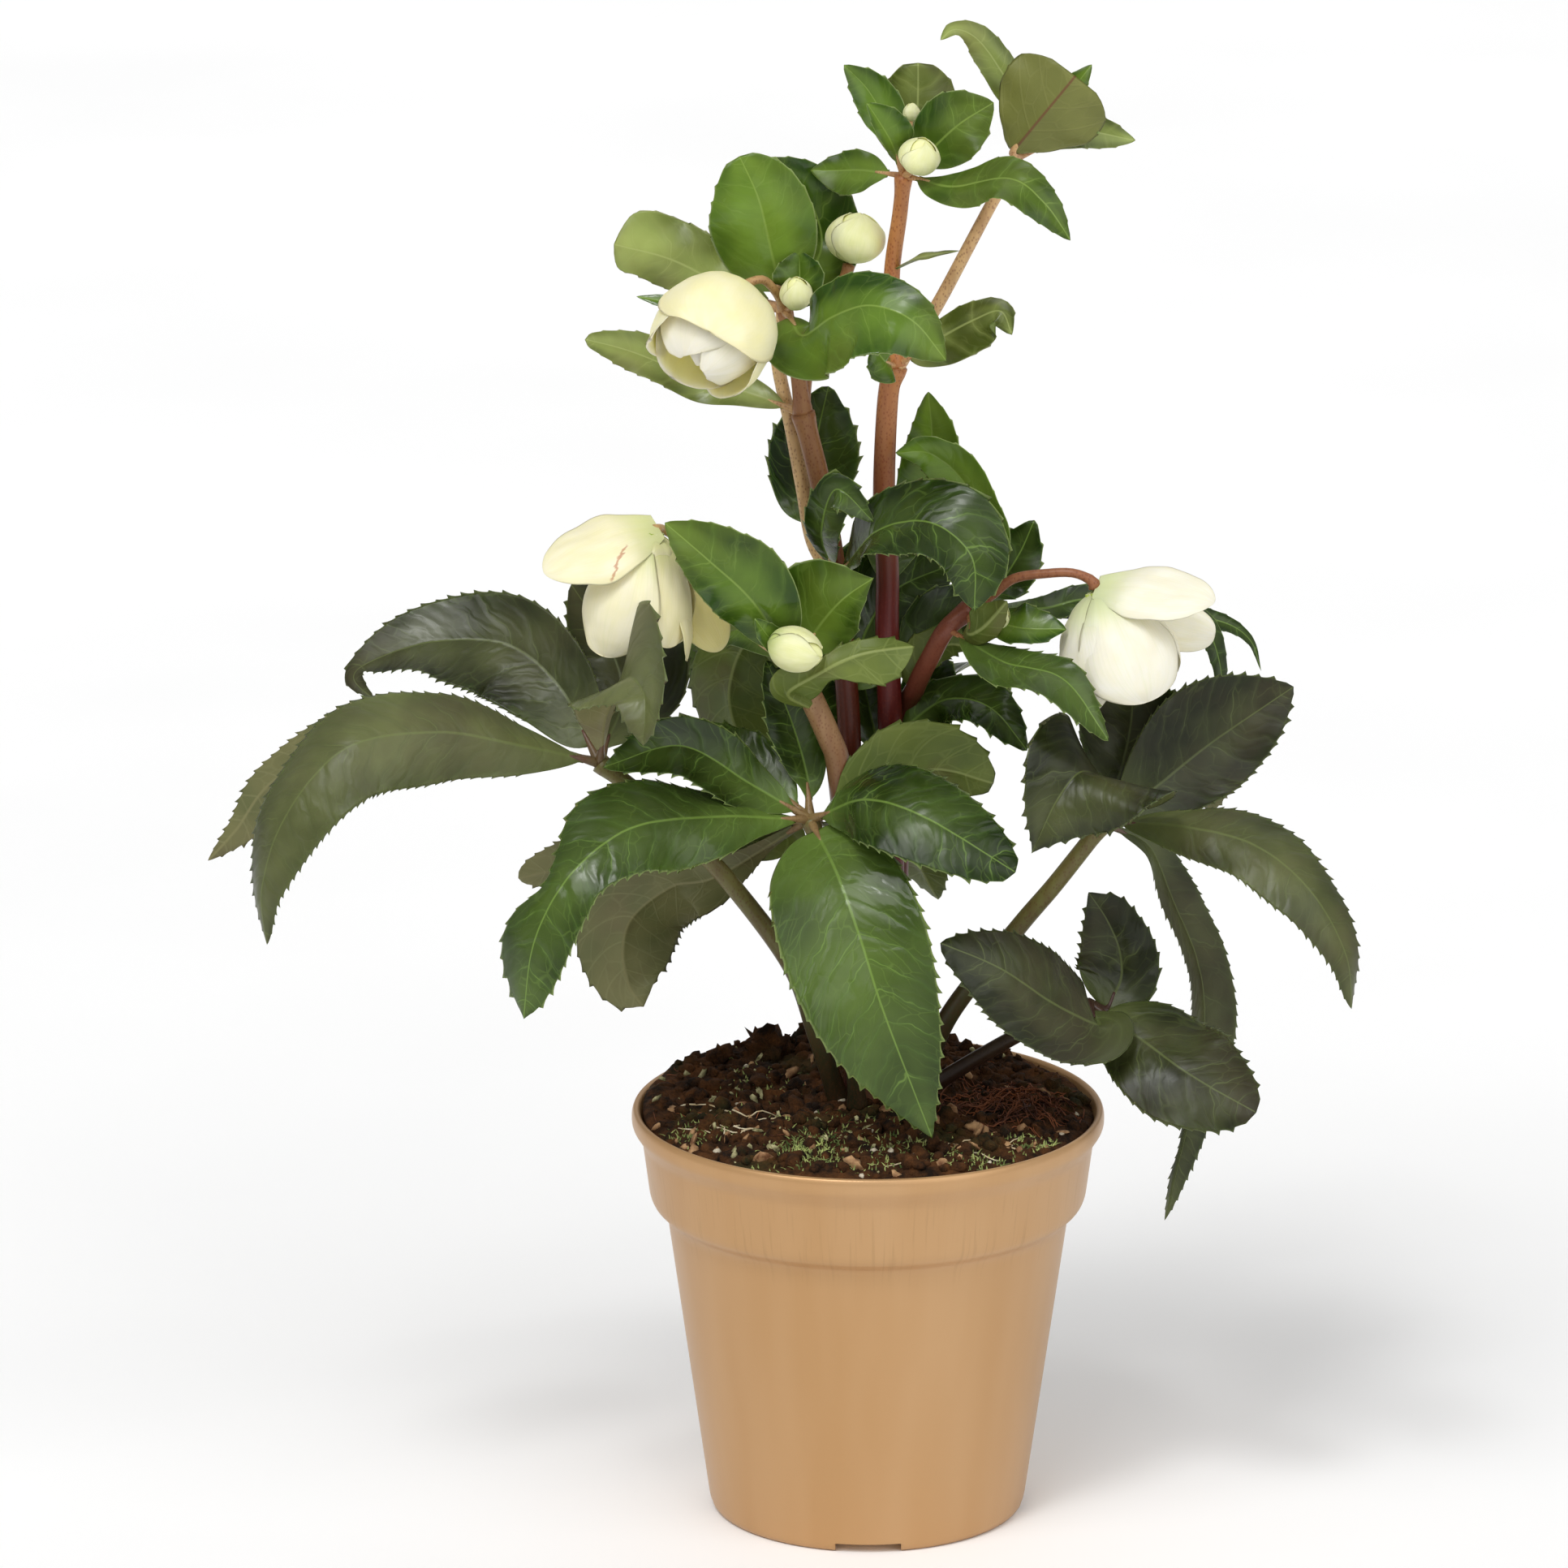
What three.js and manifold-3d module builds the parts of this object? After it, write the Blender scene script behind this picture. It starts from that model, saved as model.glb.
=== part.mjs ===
// Potted hellebore: a leafy clump with cream flowers and buds, growing in a round plastic pot.
// Millimetres, +Z up, origin in the middle of the pot's foot, front of the plant towards -Y.
import * as THREE from 'three';
import Module from 'manifold-3d';

const wasm = await Module();
wasm.setup();
const { Manifold, Mesh } = wasm;

// ---- driving dimensions ----
const POT_HEIGHT = 115;
const RIM_RADIUS = 65;
const FOOT_RADIUS = 42.3;
const POT_WALL = 1.2;
const NOTCH = { count: 4, width: 18, height: 2.6 };
const DRAIN_HOLE = { count: 4, radius: 3.5, ring: 26 };
const GAP = 0.3; // clearance between pieces that touch
const SOIL_TOP = 117; // level of the soil around the stems
const SOIL_EDGE = 112; // level of the soil at the wall
const CROWN_RADIUS = 24; // flat patch of soil that the stems grow from
const STEM_FOOT = SOIL_TOP + GAP;
const LEAF_THICKNESS = 0.9;
const PETAL_THICKNESS = 1.2;
const REACH = 5.5; // from the centre of a node to where the leaf blade begins
const STALK_WIDTH = 2.2;
const STALK_CLEAR = 0.7; // from the end of a flower's stalk to its cup

// ---- nodes: the joints on the stems that leaves, buds and flowers grow from ----
const nodes = {
  left: [-73, -20, 219],
  right: [64, -12, 200],
  low: [60, -14, 149],
  collar: [-16, -13, 201],
  middle: [-20, -17, 246],
  bend: [-9, 2, 265],
  rear: [-15, 5, 274],
  strand: [-18, 2, 311],
  upper: [-23, -3, 341],
  trunk: [5, 4, 267],
  fork: [7, 2, 324],
  top: [9, 1, 377],
  crown: [40, 14, 379],
  side: [27, -9, 259],
  elbow: [21, -10, 254],
};

// ---- flowers: a cup of overlapping petals that hangs from its stalk, and one larger petal outside it ----
const flowers = {
  upper_flower: {
    base: [-36, -19.5, 350], axis: [-0.28, -0.5, -0.82], length: 31, radius: 15.5,
    up: [0.1, -0.85, 0.5], span: 62, lift: 4, reach: 0.86,
  },
  left_flower: {
    base: [-58, -21, 284], axis: [-0.2, 0, -0.98], length: 35, radius: 14.5,
    up: [-0.9, -0.4, 0.2], span: 55, lift: 68, reach: 0.95,
  },
  right_flower: {
    base: [61, -14, 265.5], axis: [0.3, -0.12, -0.95], length: 33, radius: 16,
    up: [0.85, -0.45, 0.3], span: 55, lift: 58, reach: 0.95,
  },
};

// A point on the stalk of a flower, this far before the base of its cup.
const stalkPoint = ({ base, axis }, back) => {
  const p = new THREE.Vector3(...base);
  return p.addScaledVector(new THREE.Vector3(...axis).normalize(), -back).toArray();
};

// ---- stems: each is one body made of tapering runs [start radius, end radius, ...points] ----
const stems = {
  tall_stem_right: {
    color: 0x7d4a36,
    runs: [
      [2.6, 2.3, [4, 8, STEM_FOOT], [6, 6, 165], [6, 4, 217], [5, 4, 247], nodes.trunk, [4, 4, 288],
        [5, 3, 315], nodes.fork],
      [2.2, 1.9, nodes.fork, [6, 4, 335], [6, 5, 350], [8, 3, 366], nodes.top],
      [1.9, 1.6, nodes.fork, [12, 5, 330], [19, 8, 341], [26, 10, 354], [33, 12, 367], nodes.crown],
    ],
  },
  tall_stem_left: {
    color: 0x74402f,
    runs: [
      [2.6, 2.2, [-3, 5, STEM_FOOT], [-3, 2, 176], [-5, 0, 213], [-6, 2, 233], nodes.bend, [-13, 2, 290],
        nodes.strand],
      [2.0, 1.7, nodes.strand, [-20, 0, 327], nodes.upper],
      [1.5, 1.2, nodes.strand, [-16, 5, 326], [-13, 7, 338], [-7, 8, 347], [-5.6, 8.2, 350.7]],
      [2.2, 1.7, nodes.bend, nodes.rear, [-18, 7, 289], [-21, 8, 305], [-25, 6, 326], nodes.upper],
      [1.3, 1.1, nodes.upper, [-25, -9, 347], [-29, -14, 352],
        stalkPoint(flowers.upper_flower, 3), stalkPoint(flowers.upper_flower, STALK_CLEAR)],
    ],
  },
  middle_stem: {
    color: 0x86563f,
    runs: [
      [2.6, 2.4, [-1, -2, STEM_FOOT], [-5, -8, 179], [-8, -12, 214], [-11, -14, 225], nodes.middle],
      [1.4, 1.2, nodes.middle, [-31, -6, 251], [-42, -9, 266], [-50, -16, 282.5],
        stalkPoint(flowers.left_flower, 3.5), stalkPoint(flowers.left_flower, STALK_CLEAR)],
    ],
  },
  short_stem_right: {
    color: 0x7a4736,
    runs: [
      [2.4, 2.1, [8, 13, STEM_FOOT], [8, 13, 173], [9.5, 11, 220], [13, 4, 234], [17, -4, 245], nodes.elbow,
        nodes.side],
      [1.4, 1.2, nodes.side, [33, -9, 263], [39, -10, 268], [48, -12, 270], [55, -13.5, 270.5],
        stalkPoint(flowers.right_flower, 3), stalkPoint(flowers.right_flower, STALK_CLEAR)],
    ],
  },
  left_leaf_stalk: {
    color: 0x6b6d45,
    runs: [[2.8, 2.3, [-8, -2, STEM_FOOT], [-14, -8, 138], [-21, -12, 159], [-37, -16, 183], [-49, -18, 197],
      [-62, -20, 210], nodes.left]],
  },
  right_leaf_stalk: {
    color: 0x66663f,
    runs: [[2.8, 2.3, [12, 2, STEM_FOOT], [15, 2, 123], [23, -2, 143], [41, -8, 169], [51, -10, 182],
      nodes.right]],
  },
  low_leaf_stalk: {
    color: 0x4a3c2c,
    runs: [[2.3, 1.9, [12, -6, STEM_FOOT], [15, -6, 121], [25, -7, 128], [38, -10, 137], [51, -13, 145],
      nodes.low]],
  },
  collar_leaf_stalk: {
    color: 0x6b6d45,
    runs: [[2.4, 2.2, [-3, -9, STEM_FOOT], [-6, -18, 159], [-11, -16, 186], nodes.collar]],
  },
};


// ---- leaves: node, midrib points, half widths of the two sides, and where the upper face looks ----
const leaves = {
  left_leaf_upper: {
    node: 'left',
    path: [[-84, -8, 237], [-98, 2, 246], [-118, 6, 246], [-135, 4, 241], [-140, 0, 237], [-133, -4, 231]],
    wide: [18, 13.5], face: [-0.25, -0.75, 0.6], faceTip: [-0.6, -0.4, 0.5],
    fold: 8, curl: 15, peak: 0.42, full: 0.6, tip: 1.3,
  },
  left_leaf_front: {
    node: 'left',
    path: [[-94, -34, 228], [-116, -42, 234], [-140, -50, 232], [-156, -54, 215], [-163, -55, 195],
      [-162, -54, 178]],
    wide: [15, 14.5], face: [-0.15, -0.75, 0.65], faceTip: [-0.75, -0.65, 0.1],
    fold: -12, curl: -10, full: 0.8,
  },
  left_leaf_rear: {
    node: 'left',
    path: [[-104, -6, 224], [-137, 2, 222], [-162, 6, 207], [-173, 8, 192], [-181, 8, 183]],
    wide: [7, 13], face: [0.35, 0.85, 0.35], fold: 5, curl: 10, full: 0.8,
  },
  left_leaf_curled: {
    node: 'left',
    path: [[-75, -32, 235.5], [-71, -51, 252.5], [-64, -62, 250], [-62, -66, 237]],
    wide: [15, 15], face: [-0.45, -0.3, 0.8], faceTip: [-0.2, -0.95, 0.1],
    fold: 4, curl: -10, full: 0.5, tip: 0.9,
  },
  left_leaf_inner: {
    node: 'left',
    path: [[-67, 0, 232], [-71, 8, 245], [-81, 10, 261]],
    wide: [13, 16], face: [-0.2, -0.95, 0.3], fold: 8, curl: 10,
  },
  right_leaf_folded: {
    node: 'right',
    path: [[60, -28, 213], [52, -36, 213], [44, -40, 200]],
    wide: [12, 18], face: [-0.3, -0.85, 0.4], faceTip: [-0.5, -0.85, 0.1],
    fold: -6, curl: -8, full: 0.45, tip: 0.9,
  },
  right_leaf_broad: {
    node: 'right',
    path: [[78, -6, 208], [93, 2, 218], [116, 10, 232]],
    wide: [18, 14], face: [0.3, -0.93, 0.3], fold: 6, curl: 10, full: 0.55,
  },
  right_leaf_outer: {
    node: 'right',
    path: [[84, -26, 203], [103, -36, 201], [118, -44, 191], [128, -48, 174], [130, -48, 158]],
    wide: [11, 11], face: [0.15, -0.7, 0.7], faceTip: [0.75, -0.65, 0.1], fold: -8, curl: -10,
  },
  right_leaf_hanging: {
    node: 'right',
    path: [[77, 2, 188], [85, 8, 169], [92, 10, 150], [94, 10, 131], [89, 6, 107], [77, 2, 79]],
    wide: [11, 11], face: [0.85, -0.5, 0.2], fold: 10, curl: 10, full: 0.8,
  },
  right_leaf_back: {
    node: 'right',
    path: [[78, 26, 203], [90, 44, 200], [96, 58, 182]],
    wide: [15, 15], face: [0.2, 0.6, 0.8], fold: 6,
  },
  low_leaf_broad: {
    node: 'low',
    path: [[62, -30, 148], [50, -40, 157], [35, -46, 169], [19, -46, 176]],
    wide: [14.5, 14], face: [0.1, -0.8, 0.6], fold: -5, curl: -8, full: 0.35, tip: 0.7,
  },
  low_leaf_upright: {
    node: 'low',
    path: [[70, -7, 152], [68, -5, 164], [60, -7, 178]],
    wide: [10, 12], face: [-0.1, -0.95, 0.2], fold: 10, full: 0.5, tip: 0.8,
  },
  low_leaf_outer: {
    node: 'low',
    path: [[74, -24, 142], [87, -34, 135], [105, -40, 126]],
    wide: [16.5, 15.5], face: [0.2, -0.85, 0.5], fold: -5, curl: -8, full: 0.45, tip: 0.55,
  },
  collar_leaf_left: {
    node: 'collar',
    path: [[-42, -34, 208], [-64, -48, 209], [-80, -57, 199], [-90, -60, 181], [-93, -60, 159]],
    wide: [13, 19], face: [-0.1, -0.65, 0.7], faceTip: [-0.65, -0.75, 0.1], fold: -8, curl: -10, peak: 0.6,
  },
  collar_leaf_front: {
    node: 'collar',
    path: [[-9, -36, 193], [-3, -47, 179], [4, -53, 158], [17, -50, 122]],
    wide: [18, 22], face: [0, -0.95, 0.35], fold: 4, curl: 10, peak: 0.4, full: 0.6, tip: 0.95,
  },
  collar_leaf_right: {
    node: 'collar',
    path: [[-1, -33, 212.5], [15, -45, 211], [39, -53, 198]],
    wide: [14, 13.5], face: [0.2, -0.8, 0.55], fold: -4, curl: -10, full: 0.8, tip: 0.5,
  },
  collar_leaf_upper_left: {
    node: 'collar',
    path: [[-33, -18, 213], [-51, -24, 225], [-72, -28, 220]],
    wide: [12, 9], face: [0, -0.7, 0.7], fold: 6, curl: 15,
  },
  collar_leaf_rear_left: {
    node: 'collar',
    path: [[-41, 0, 184], [-57, 6, 173], [-67, 10, 156], [-61, 10, 140]],
    wide: [17, 19], face: [-0.2, 0.95, 0.2], fold: 5, curl: 6, peak: 0.58, full: 0.6,
  },
  collar_leaf_rear_right: {
    node: 'collar',
    path: [[-5, -17.5, 205], [4, -13, 210], [18, -9, 215], [34, -6, 212]],
    wide: [12, 11], face: [0.1, 0.95, 0.2], fold: 5, full: 0.75, tip: 0.7,
  },
  middle_leaf_left: {
    node: 'middle',
    path: [[-32, -28, 267], [-43, -33, 279], [-55, -34, 290]],
    wide: [9.5, 14], face: [-0.35, -0.8, 0.5], fold: 8, curl: 10, full: 0.6,
  },
  middle_leaf_up: {
    node: 'middle',
    path: [[-13, -19, 258], [-7, -23, 266], [1, -26, 272.5]],
    wide: [13, 7], face: [-0.1, -0.95, 0.3], fold: 6, full: 0.4,
  },
  stem_leaf_curled: {
    node: 'bend',
    path: [[-13, -10, 281], [-9, -14, 294], [1, -18, 286]],
    wide: [5, 7], face: [-0.5, -0.8, 0.3], faceTip: [0, -0.9, 0.4], fold: 15,
  },
  arching_leaf_front: {
    node: 'bend',
    path: [[2, -20, 284], [16, -30, 289], [27, -35, 281], [28, -36, 266]],
    wide: [7.5, 13], face: [0.05, -0.75, 0.65], fold: 6, curl: 10,
  },
  pale_leaf_arching: {
    node: 'side',
    path: [[32, 0, 273], [27, 0, 290], [17, 0, 300], [7, -2, 301]],
    wide: [8, 10], face: [-0.65, -0.75, 0.1], fold: 8, full: 0.5,
  },
  pale_leaf_tall: {
    node: 'trunk',
    path: [[14, 16, 282], [17, 14, 299], [16, 10, 315]],
    wide: [8, 9], face: [-0.1, -0.98, 0.2], fold: 8,
  },
  arching_leaf_right: {
    node: 'elbow',
    path: [[36, -26, 249], [52, -36, 247], [64, -40, 231]],
    wide: [6, 11], face: [0.25, -0.6, 0.75], fold: 6, curl: 10,
  },
  dark_leaf_behind: {
    node: 'rear',
    path: [[-16, 15, 286], [-14, 17, 301], [-11, 16, 315]],
    wide: [12.5, 12.5], face: [-0.1, -1, 0.1], fold: 6, full: 0.55,
  },
  upper_leaf_upright: {
    node: 'upper',
    path: [[-27, -6, 360], [-30, -8, 373], [-35, -6, 384]],
    wide: [15, 14], face: [-0.1, -1, 0.15], fold: 6, full: 0.45, tip: 0.5,
  },
  upper_leaf_behind: {
    node: 'upper',
    path: [[-13, 19, 353], [-17, 20, 367], [-28, 18, 378]],
    wide: [9, 11], face: [0.1, -0.95, 0.3], fold: 8,
  },
  upper_leaf_front: {
    node: 'upper',
    path: [[-18, -20, 338], [-10, -31, 346], [0, -39, 351], [11, -44, 348], [20, -44, 337]],
    wide: [10, 18], face: [0.05, -0.8, 0.6], fold: 2, curl: 8, full: 0.6,
  },
  upper_leaf_left: {
    node: 'upper',
    path: [[-40, 6, 346], [-54, 10, 352], [-69, 10, 356]],
    wide: [9, 12], face: [-0.1, -0.9, 0.4], fold: 4, full: 0.5, tip: 0.5,
  },
  lower_bract_left: {
    node: 'strand',
    path: [[-31, 6, 315], [-46, 12, 318], [-64, 14, 325], [-78, 12, 330]],
    wide: [7, 7], face: [0, -0.75, 0.65], fold: 8, full: 0.6, tip: 0.8,
  },
  top_leaf_right: {
    node: 'top',
    path: [[17, 0, 385], [24, -2, 392], [33, -3, 398]],
    wide: [10, 9.5], face: [-0.2, -0.95, 0.2], fold: 8, full: 0.5,
  },
  top_leaf_rear_left: {
    node: 'top',
    path: [[4, 10, 390], [0, 12, 398], [-7, 12, 405]],
    wide: [5, 8], face: [0, -1, 0.1], fold: 10,
  },
  top_leaf_rear: {
    node: 'top',
    path: [[12.5, 15, 389], [12.5, 17, 397], [12, 17, 404]],
    wide: [10, 10], face: [0, -1, 0.1], fold: 5, full: 0.4, tip: 0.7,
  },
  top_leaf_drooping: {
    node: 'top',
    path: [[22, -14, 377.5], [37, -26, 382.5], [46, -31, 377], [53, -32, 367]],
    wide: [6.5, 10], face: [0.15, -0.7, 0.7], fold: 4, curl: 10, full: 0.8,
  },
  crown_bract_cupped: {
    node: 'crown',
    path: [[46, 5, 391], [54, 5, 400]],
    wide: [15, 15.5], face: [0.1, 0.97, 0.1], fold: 4, curl: 20, full: 0.35, tip: 0.45,
  },
  crown_bract_curled: {
    node: 'crown',
    path: [[40, 24, 392], [35, 26, 401], [29, 26, 409], [23, 24, 412], [19, 20, 410]],
    wide: [6, 5], face: [0.4, -0.9, 0.2], faceTip: [0, -0.6, 0.8], fold: 10,
  },
  fork_leaf_right: {
    node: 'fork',
    path: [[19, -6, 334], [28, -10, 340], [35, -13, 343], [38, -15, 337]],
    wide: [5, 9], face: [-0.1, -0.9, 0.4], fold: 6, full: 0.5,
  },
};

// ---- buds: centre, half sizes, tilt of the long axis ----
const buds = {
  bud_upper_round: { at: [-4, 9, 358], size: [8, 7.5, 7], axis: [0.2, 0.1, 1] },
  bud_upper_small: { at: [-20, -13, 348], size: [4.3, 4, 4.8], axis: [0, -0.4, 1] },
  bud_top: { at: [13, -9, 385.5], size: [5.6, 5, 5], axis: [0.3, -0.4, 1] },
  bud_middle: { at: [-20, -30, 254], size: [6, 5.6, 7.8], axis: [1, -0.3, -0.2] },
  bud_side: { at: [34, -17, 259], size: [3.6, 3.5, 4.6], axis: [0.6, -0.4, 0.6] },
};

// ---- colours ----
const GOLD_PLASTIC = { color: 0xc49b6c, roughness: 0.42, metalness: 0.25 };
const PEAT = { color: 0x2a170e, roughness: 0.95, metalness: 0 };
const YOUNG_LEAF = { color: 0x34701f, roughness: 0.45, metalness: 0 };
const OLD_LEAF = { color: 0x3c4a31, roughness: 0.5, metalness: 0 };
const PETAL = { color: 0xf6f0d2, roughness: 0.6, metalness: 0 };
const BUD = { color: 0xdfe8ae, roughness: 0.55, metalness: 0 };

const group = new THREE.Group();

function addMesh(name, geometry, look) {
  const mesh = new THREE.Mesh(geometry, new THREE.MeshStandardMaterial(look));
  mesh.name = name;
  group.add(mesh);
}

// ---- between plain indexed geometry and solids ----
function toSolid(positions, triangles) {
  return new Manifold(new Mesh({
    numProp: 3, vertProperties: new Float32Array(positions), triVerts: new Uint32Array(triangles),
  }));
}

function geometryOf(positions, triangles) {
  const geometry = new THREE.BufferGeometry();
  geometry.setAttribute('position', new THREE.Float32BufferAttribute(positions, 3));
  geometry.setIndex(Array.from(triangles));
  geometry.computeVertexNormals();
  return geometry;
}

function fromSolid(solid) {
  const { vertProperties, triVerts } = solid.getMesh();
  return geometryOf(Array.from(vertProperties), triVerts);
}

const vec = (p) => new THREE.Vector3(...p);

// A solid turned about the Z axis from a closed outline of [radius, height] that starts and ends on the axis.
function turned(outline, segments) {
  const positions = [];
  const triangles = [];
  const rows = outline.map(([r, z]) => {
    const start = positions.length / 3;
    const count = r === 0 ? 1 : segments;
    for (let k = 0; k < count; k += 1) {
      const a = (2 * Math.PI * k) / segments;
      positions.push(r * Math.cos(a), r * Math.sin(a), z);
    }
    return { start, count };
  });
  for (let i = 0; i < rows.length - 1; i += 1) {
    const [low, high] = [rows[i], rows[i + 1]];
    for (let k = 0; k < segments; k += 1) {
      const a = low.start + (k % low.count);
      const b = low.start + ((k + 1) % low.count);
      const c = high.start + ((k + 1) % high.count);
      const d = high.start + (k % high.count);
      if (low.count > 1) triangles.push(a, b, c);
      if (high.count > 1) triangles.push(a, c, d);
    }
  }
  return { positions, triangles };
}

// A tapering tube along a smooth curve, closed by flat ends, the first one level when it stands on the soil.
function tube([startRadius, endRadius, ...points], sides = 7) {
  const curve = new THREE.CatmullRomCurve3(points.map(vec), false, 'catmullrom', 0.5);
  const rings = points.length === 2 ? 1 : Math.max(3, Math.round(curve.getLength() / 15));
  const positions = [];
  const triangles = [];
  let across = new THREE.Vector3(1, 0, 0);
  for (let i = 0; i <= rings; i += 1) {
    const u = i / rings;
    const centre = curve.getPointAt(u);
    const along = curve.getTangentAt(u);
    if (i === 0 && points[0][2] === STEM_FOOT) along.set(0, 0, 1);
    across = across.clone().addScaledVector(along, -across.dot(along)).normalize();
    const side = along.clone().cross(across);
    const radius = startRadius + (endRadius - startRadius) * u;
    for (let k = 0; k < sides; k += 1) {
      const a = (2 * Math.PI * k) / sides;
      const p = centre.clone().addScaledVector(across, radius * Math.cos(a));
      p.addScaledVector(side, radius * Math.sin(a));
      positions.push(p.x, p.y, p.z);
    }
  }
  for (let i = 0; i < rings; i += 1) {
    for (let k = 0; k < sides; k += 1) {
      const a = i * sides + k;
      const b = i * sides + ((k + 1) % sides);
      triangles.push(a, b, b + sides, a, b + sides, a + sides);
    }
  }
  const last = rings * sides;
  for (let k = 1; k < sides - 1; k += 1) {
    triangles.push(0, k + 1, k, last, last + k, last + k + 1);
  }
  return toSolid(positions, triangles);
}

// A leaf blade: a midrib curve widened to both sides, folded and cupped across, thickest at the midrib.
function blade(points, leaf, rows = 9, columns = 4) {
  const { wide, face, fold, curl = 0, peak = 0.5, full = 0.7, tip = 1 } = leaf;
  const curve = new THREE.CatmullRomCurve3(points.map(vec), false, 'catmullrom', 0.5);
  const faceStart = vec(face);
  const faceEnd = vec(leaf.faceTip ?? face);
  const bend = Math.log(0.5) / Math.log(peak);
  const upper = [];
  const lower = [];
  const positions = [];
  for (let i = 0; i <= rows; i += 1) {
    const u = i / rows;
    const centre = curve.getPointAt(u);
    const along = curve.getTangentAt(u);
    const normal = faceStart.clone().lerp(faceEnd, u);
    normal.addScaledVector(along, -normal.dot(along)).normalize();
    const across = along.clone().cross(normal);
    const outline = Math.sin(Math.PI * u ** bend) ** (full + (tip - full) * u);
    upper.push([]);
    lower.push([]);
    for (let j = 0; j <= columns; j += 1) {
      const v = (2 * j) / columns - 1;
      const half = Math.max(outline * wide[v > 0 ? 1 : 0], 0.5 * STALK_WIDTH * (1 - u) ** 0.6);
      const lift = THREE.MathUtils.degToRad(fold + 0.5 * curl * Math.abs(v));
      const p = centre.clone().addScaledVector(across, half * v * Math.cos(lift));
      p.addScaledVector(normal, half * Math.abs(v) * Math.sin(lift));
      const edge = i === 0 || i === rows || j === 0 || j === columns;
      const thick = edge ? 0 : 0.5 * LEAF_THICKNESS * (1 - 0.5 * v * v);
      if (i === rows && j > 0) {
        upper[i].push(upper[i][0]);
        lower[i].push(upper[i][0]);
        continue;
      }
      upper[i].push(positions.length / 3);
      positions.push(...p.clone().addScaledVector(normal, thick).toArray());
      lower[i].push(edge ? upper[i][j] : positions.length / 3);
      if (!edge) positions.push(...p.clone().addScaledVector(normal, -thick).toArray());
    }
  }
  const triangles = [];
  for (let i = 0; i < rows; i += 1) {
    for (let j = 0; j < columns; j += 1) {
      const [a, b, c, d] = [upper[i][j], upper[i][j + 1], upper[i + 1][j + 1], upper[i + 1][j]];
      const [e, f, g, h] = [lower[i][j], lower[i][j + 1], lower[i + 1][j + 1], lower[i + 1][j]];
      triangles.push(a, b, c, e, g, f);
      if (i < rows - 1) triangles.push(a, c, d, e, h, g);
    }
  }
  return geometryOf(positions, triangles);
}

// Points on the bell of a flower: t runs from the stalk to the mouth, turn goes round the axis.
function bellFrame(flower) {
  const axis = vec(flower.axis).normalize();
  const up = vec(flower.up);
  up.addScaledVector(axis, -up.dot(axis)).normalize();
  return { axis, up, side: axis.clone().cross(up), base: vec(flower.base) };
}

const bellRadius = (flower, t) => flower.radius * Math.sin(Math.PI * (0.05 + 0.6 * t));

// The cup: a closed thick bell with a mouth of four rounded petal tips.
function petalCup(flower, rings = 5, sectors = 12) {
  const { axis, up, side, base } = bellFrame(flower);
  const positions = [];
  const rows = [];
  const ring = (t, inset, depth) => {
    rows.push(positions.length / 3);
    for (let k = 0; k < sectors; k += 1) {
      const a = (2 * Math.PI * k) / sectors;
      const reach = flower.length * (1 - 0.14 * t * Math.cos(2 * a) ** 2);
      const radius = Math.max(bellRadius(flower, t) - inset, 0.4);
      const p = base.clone().addScaledVector(axis, t * reach + depth);
      p.addScaledVector(up, radius * Math.cos(a)).addScaledVector(side, radius * Math.sin(a));
      positions.push(p.x, p.y, p.z);
    }
  };
  for (let i = 0; i <= rings; i += 1) ring(i / rings, 0, 0);
  for (let i = rings - 1; i >= 0; i -= 1) {
    ring(i / rings, PETAL_THICKNESS, PETAL_THICKNESS * (1 - i / rings));
  }
  const triangles = [];
  for (let i = 0; i < rows.length - 1; i += 1) {
    for (let k = 0; k < sectors; k += 1) {
      const next = (k + 1) % sectors;
      const [a, b, c, d] = [rows[i] + k, rows[i] + next, rows[i + 1] + next, rows[i + 1] + k];
      triangles.push(a, b, c, a, c, d);
    }
  }
  const inner = rows[rows.length - 1];
  for (let k = 1; k < sectors - 1; k += 1) {
    triangles.push(0, k + 1, k, inner, inner + k, inner + k + 1);
  }
  return geometryOf(positions, triangles);
}

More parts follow.
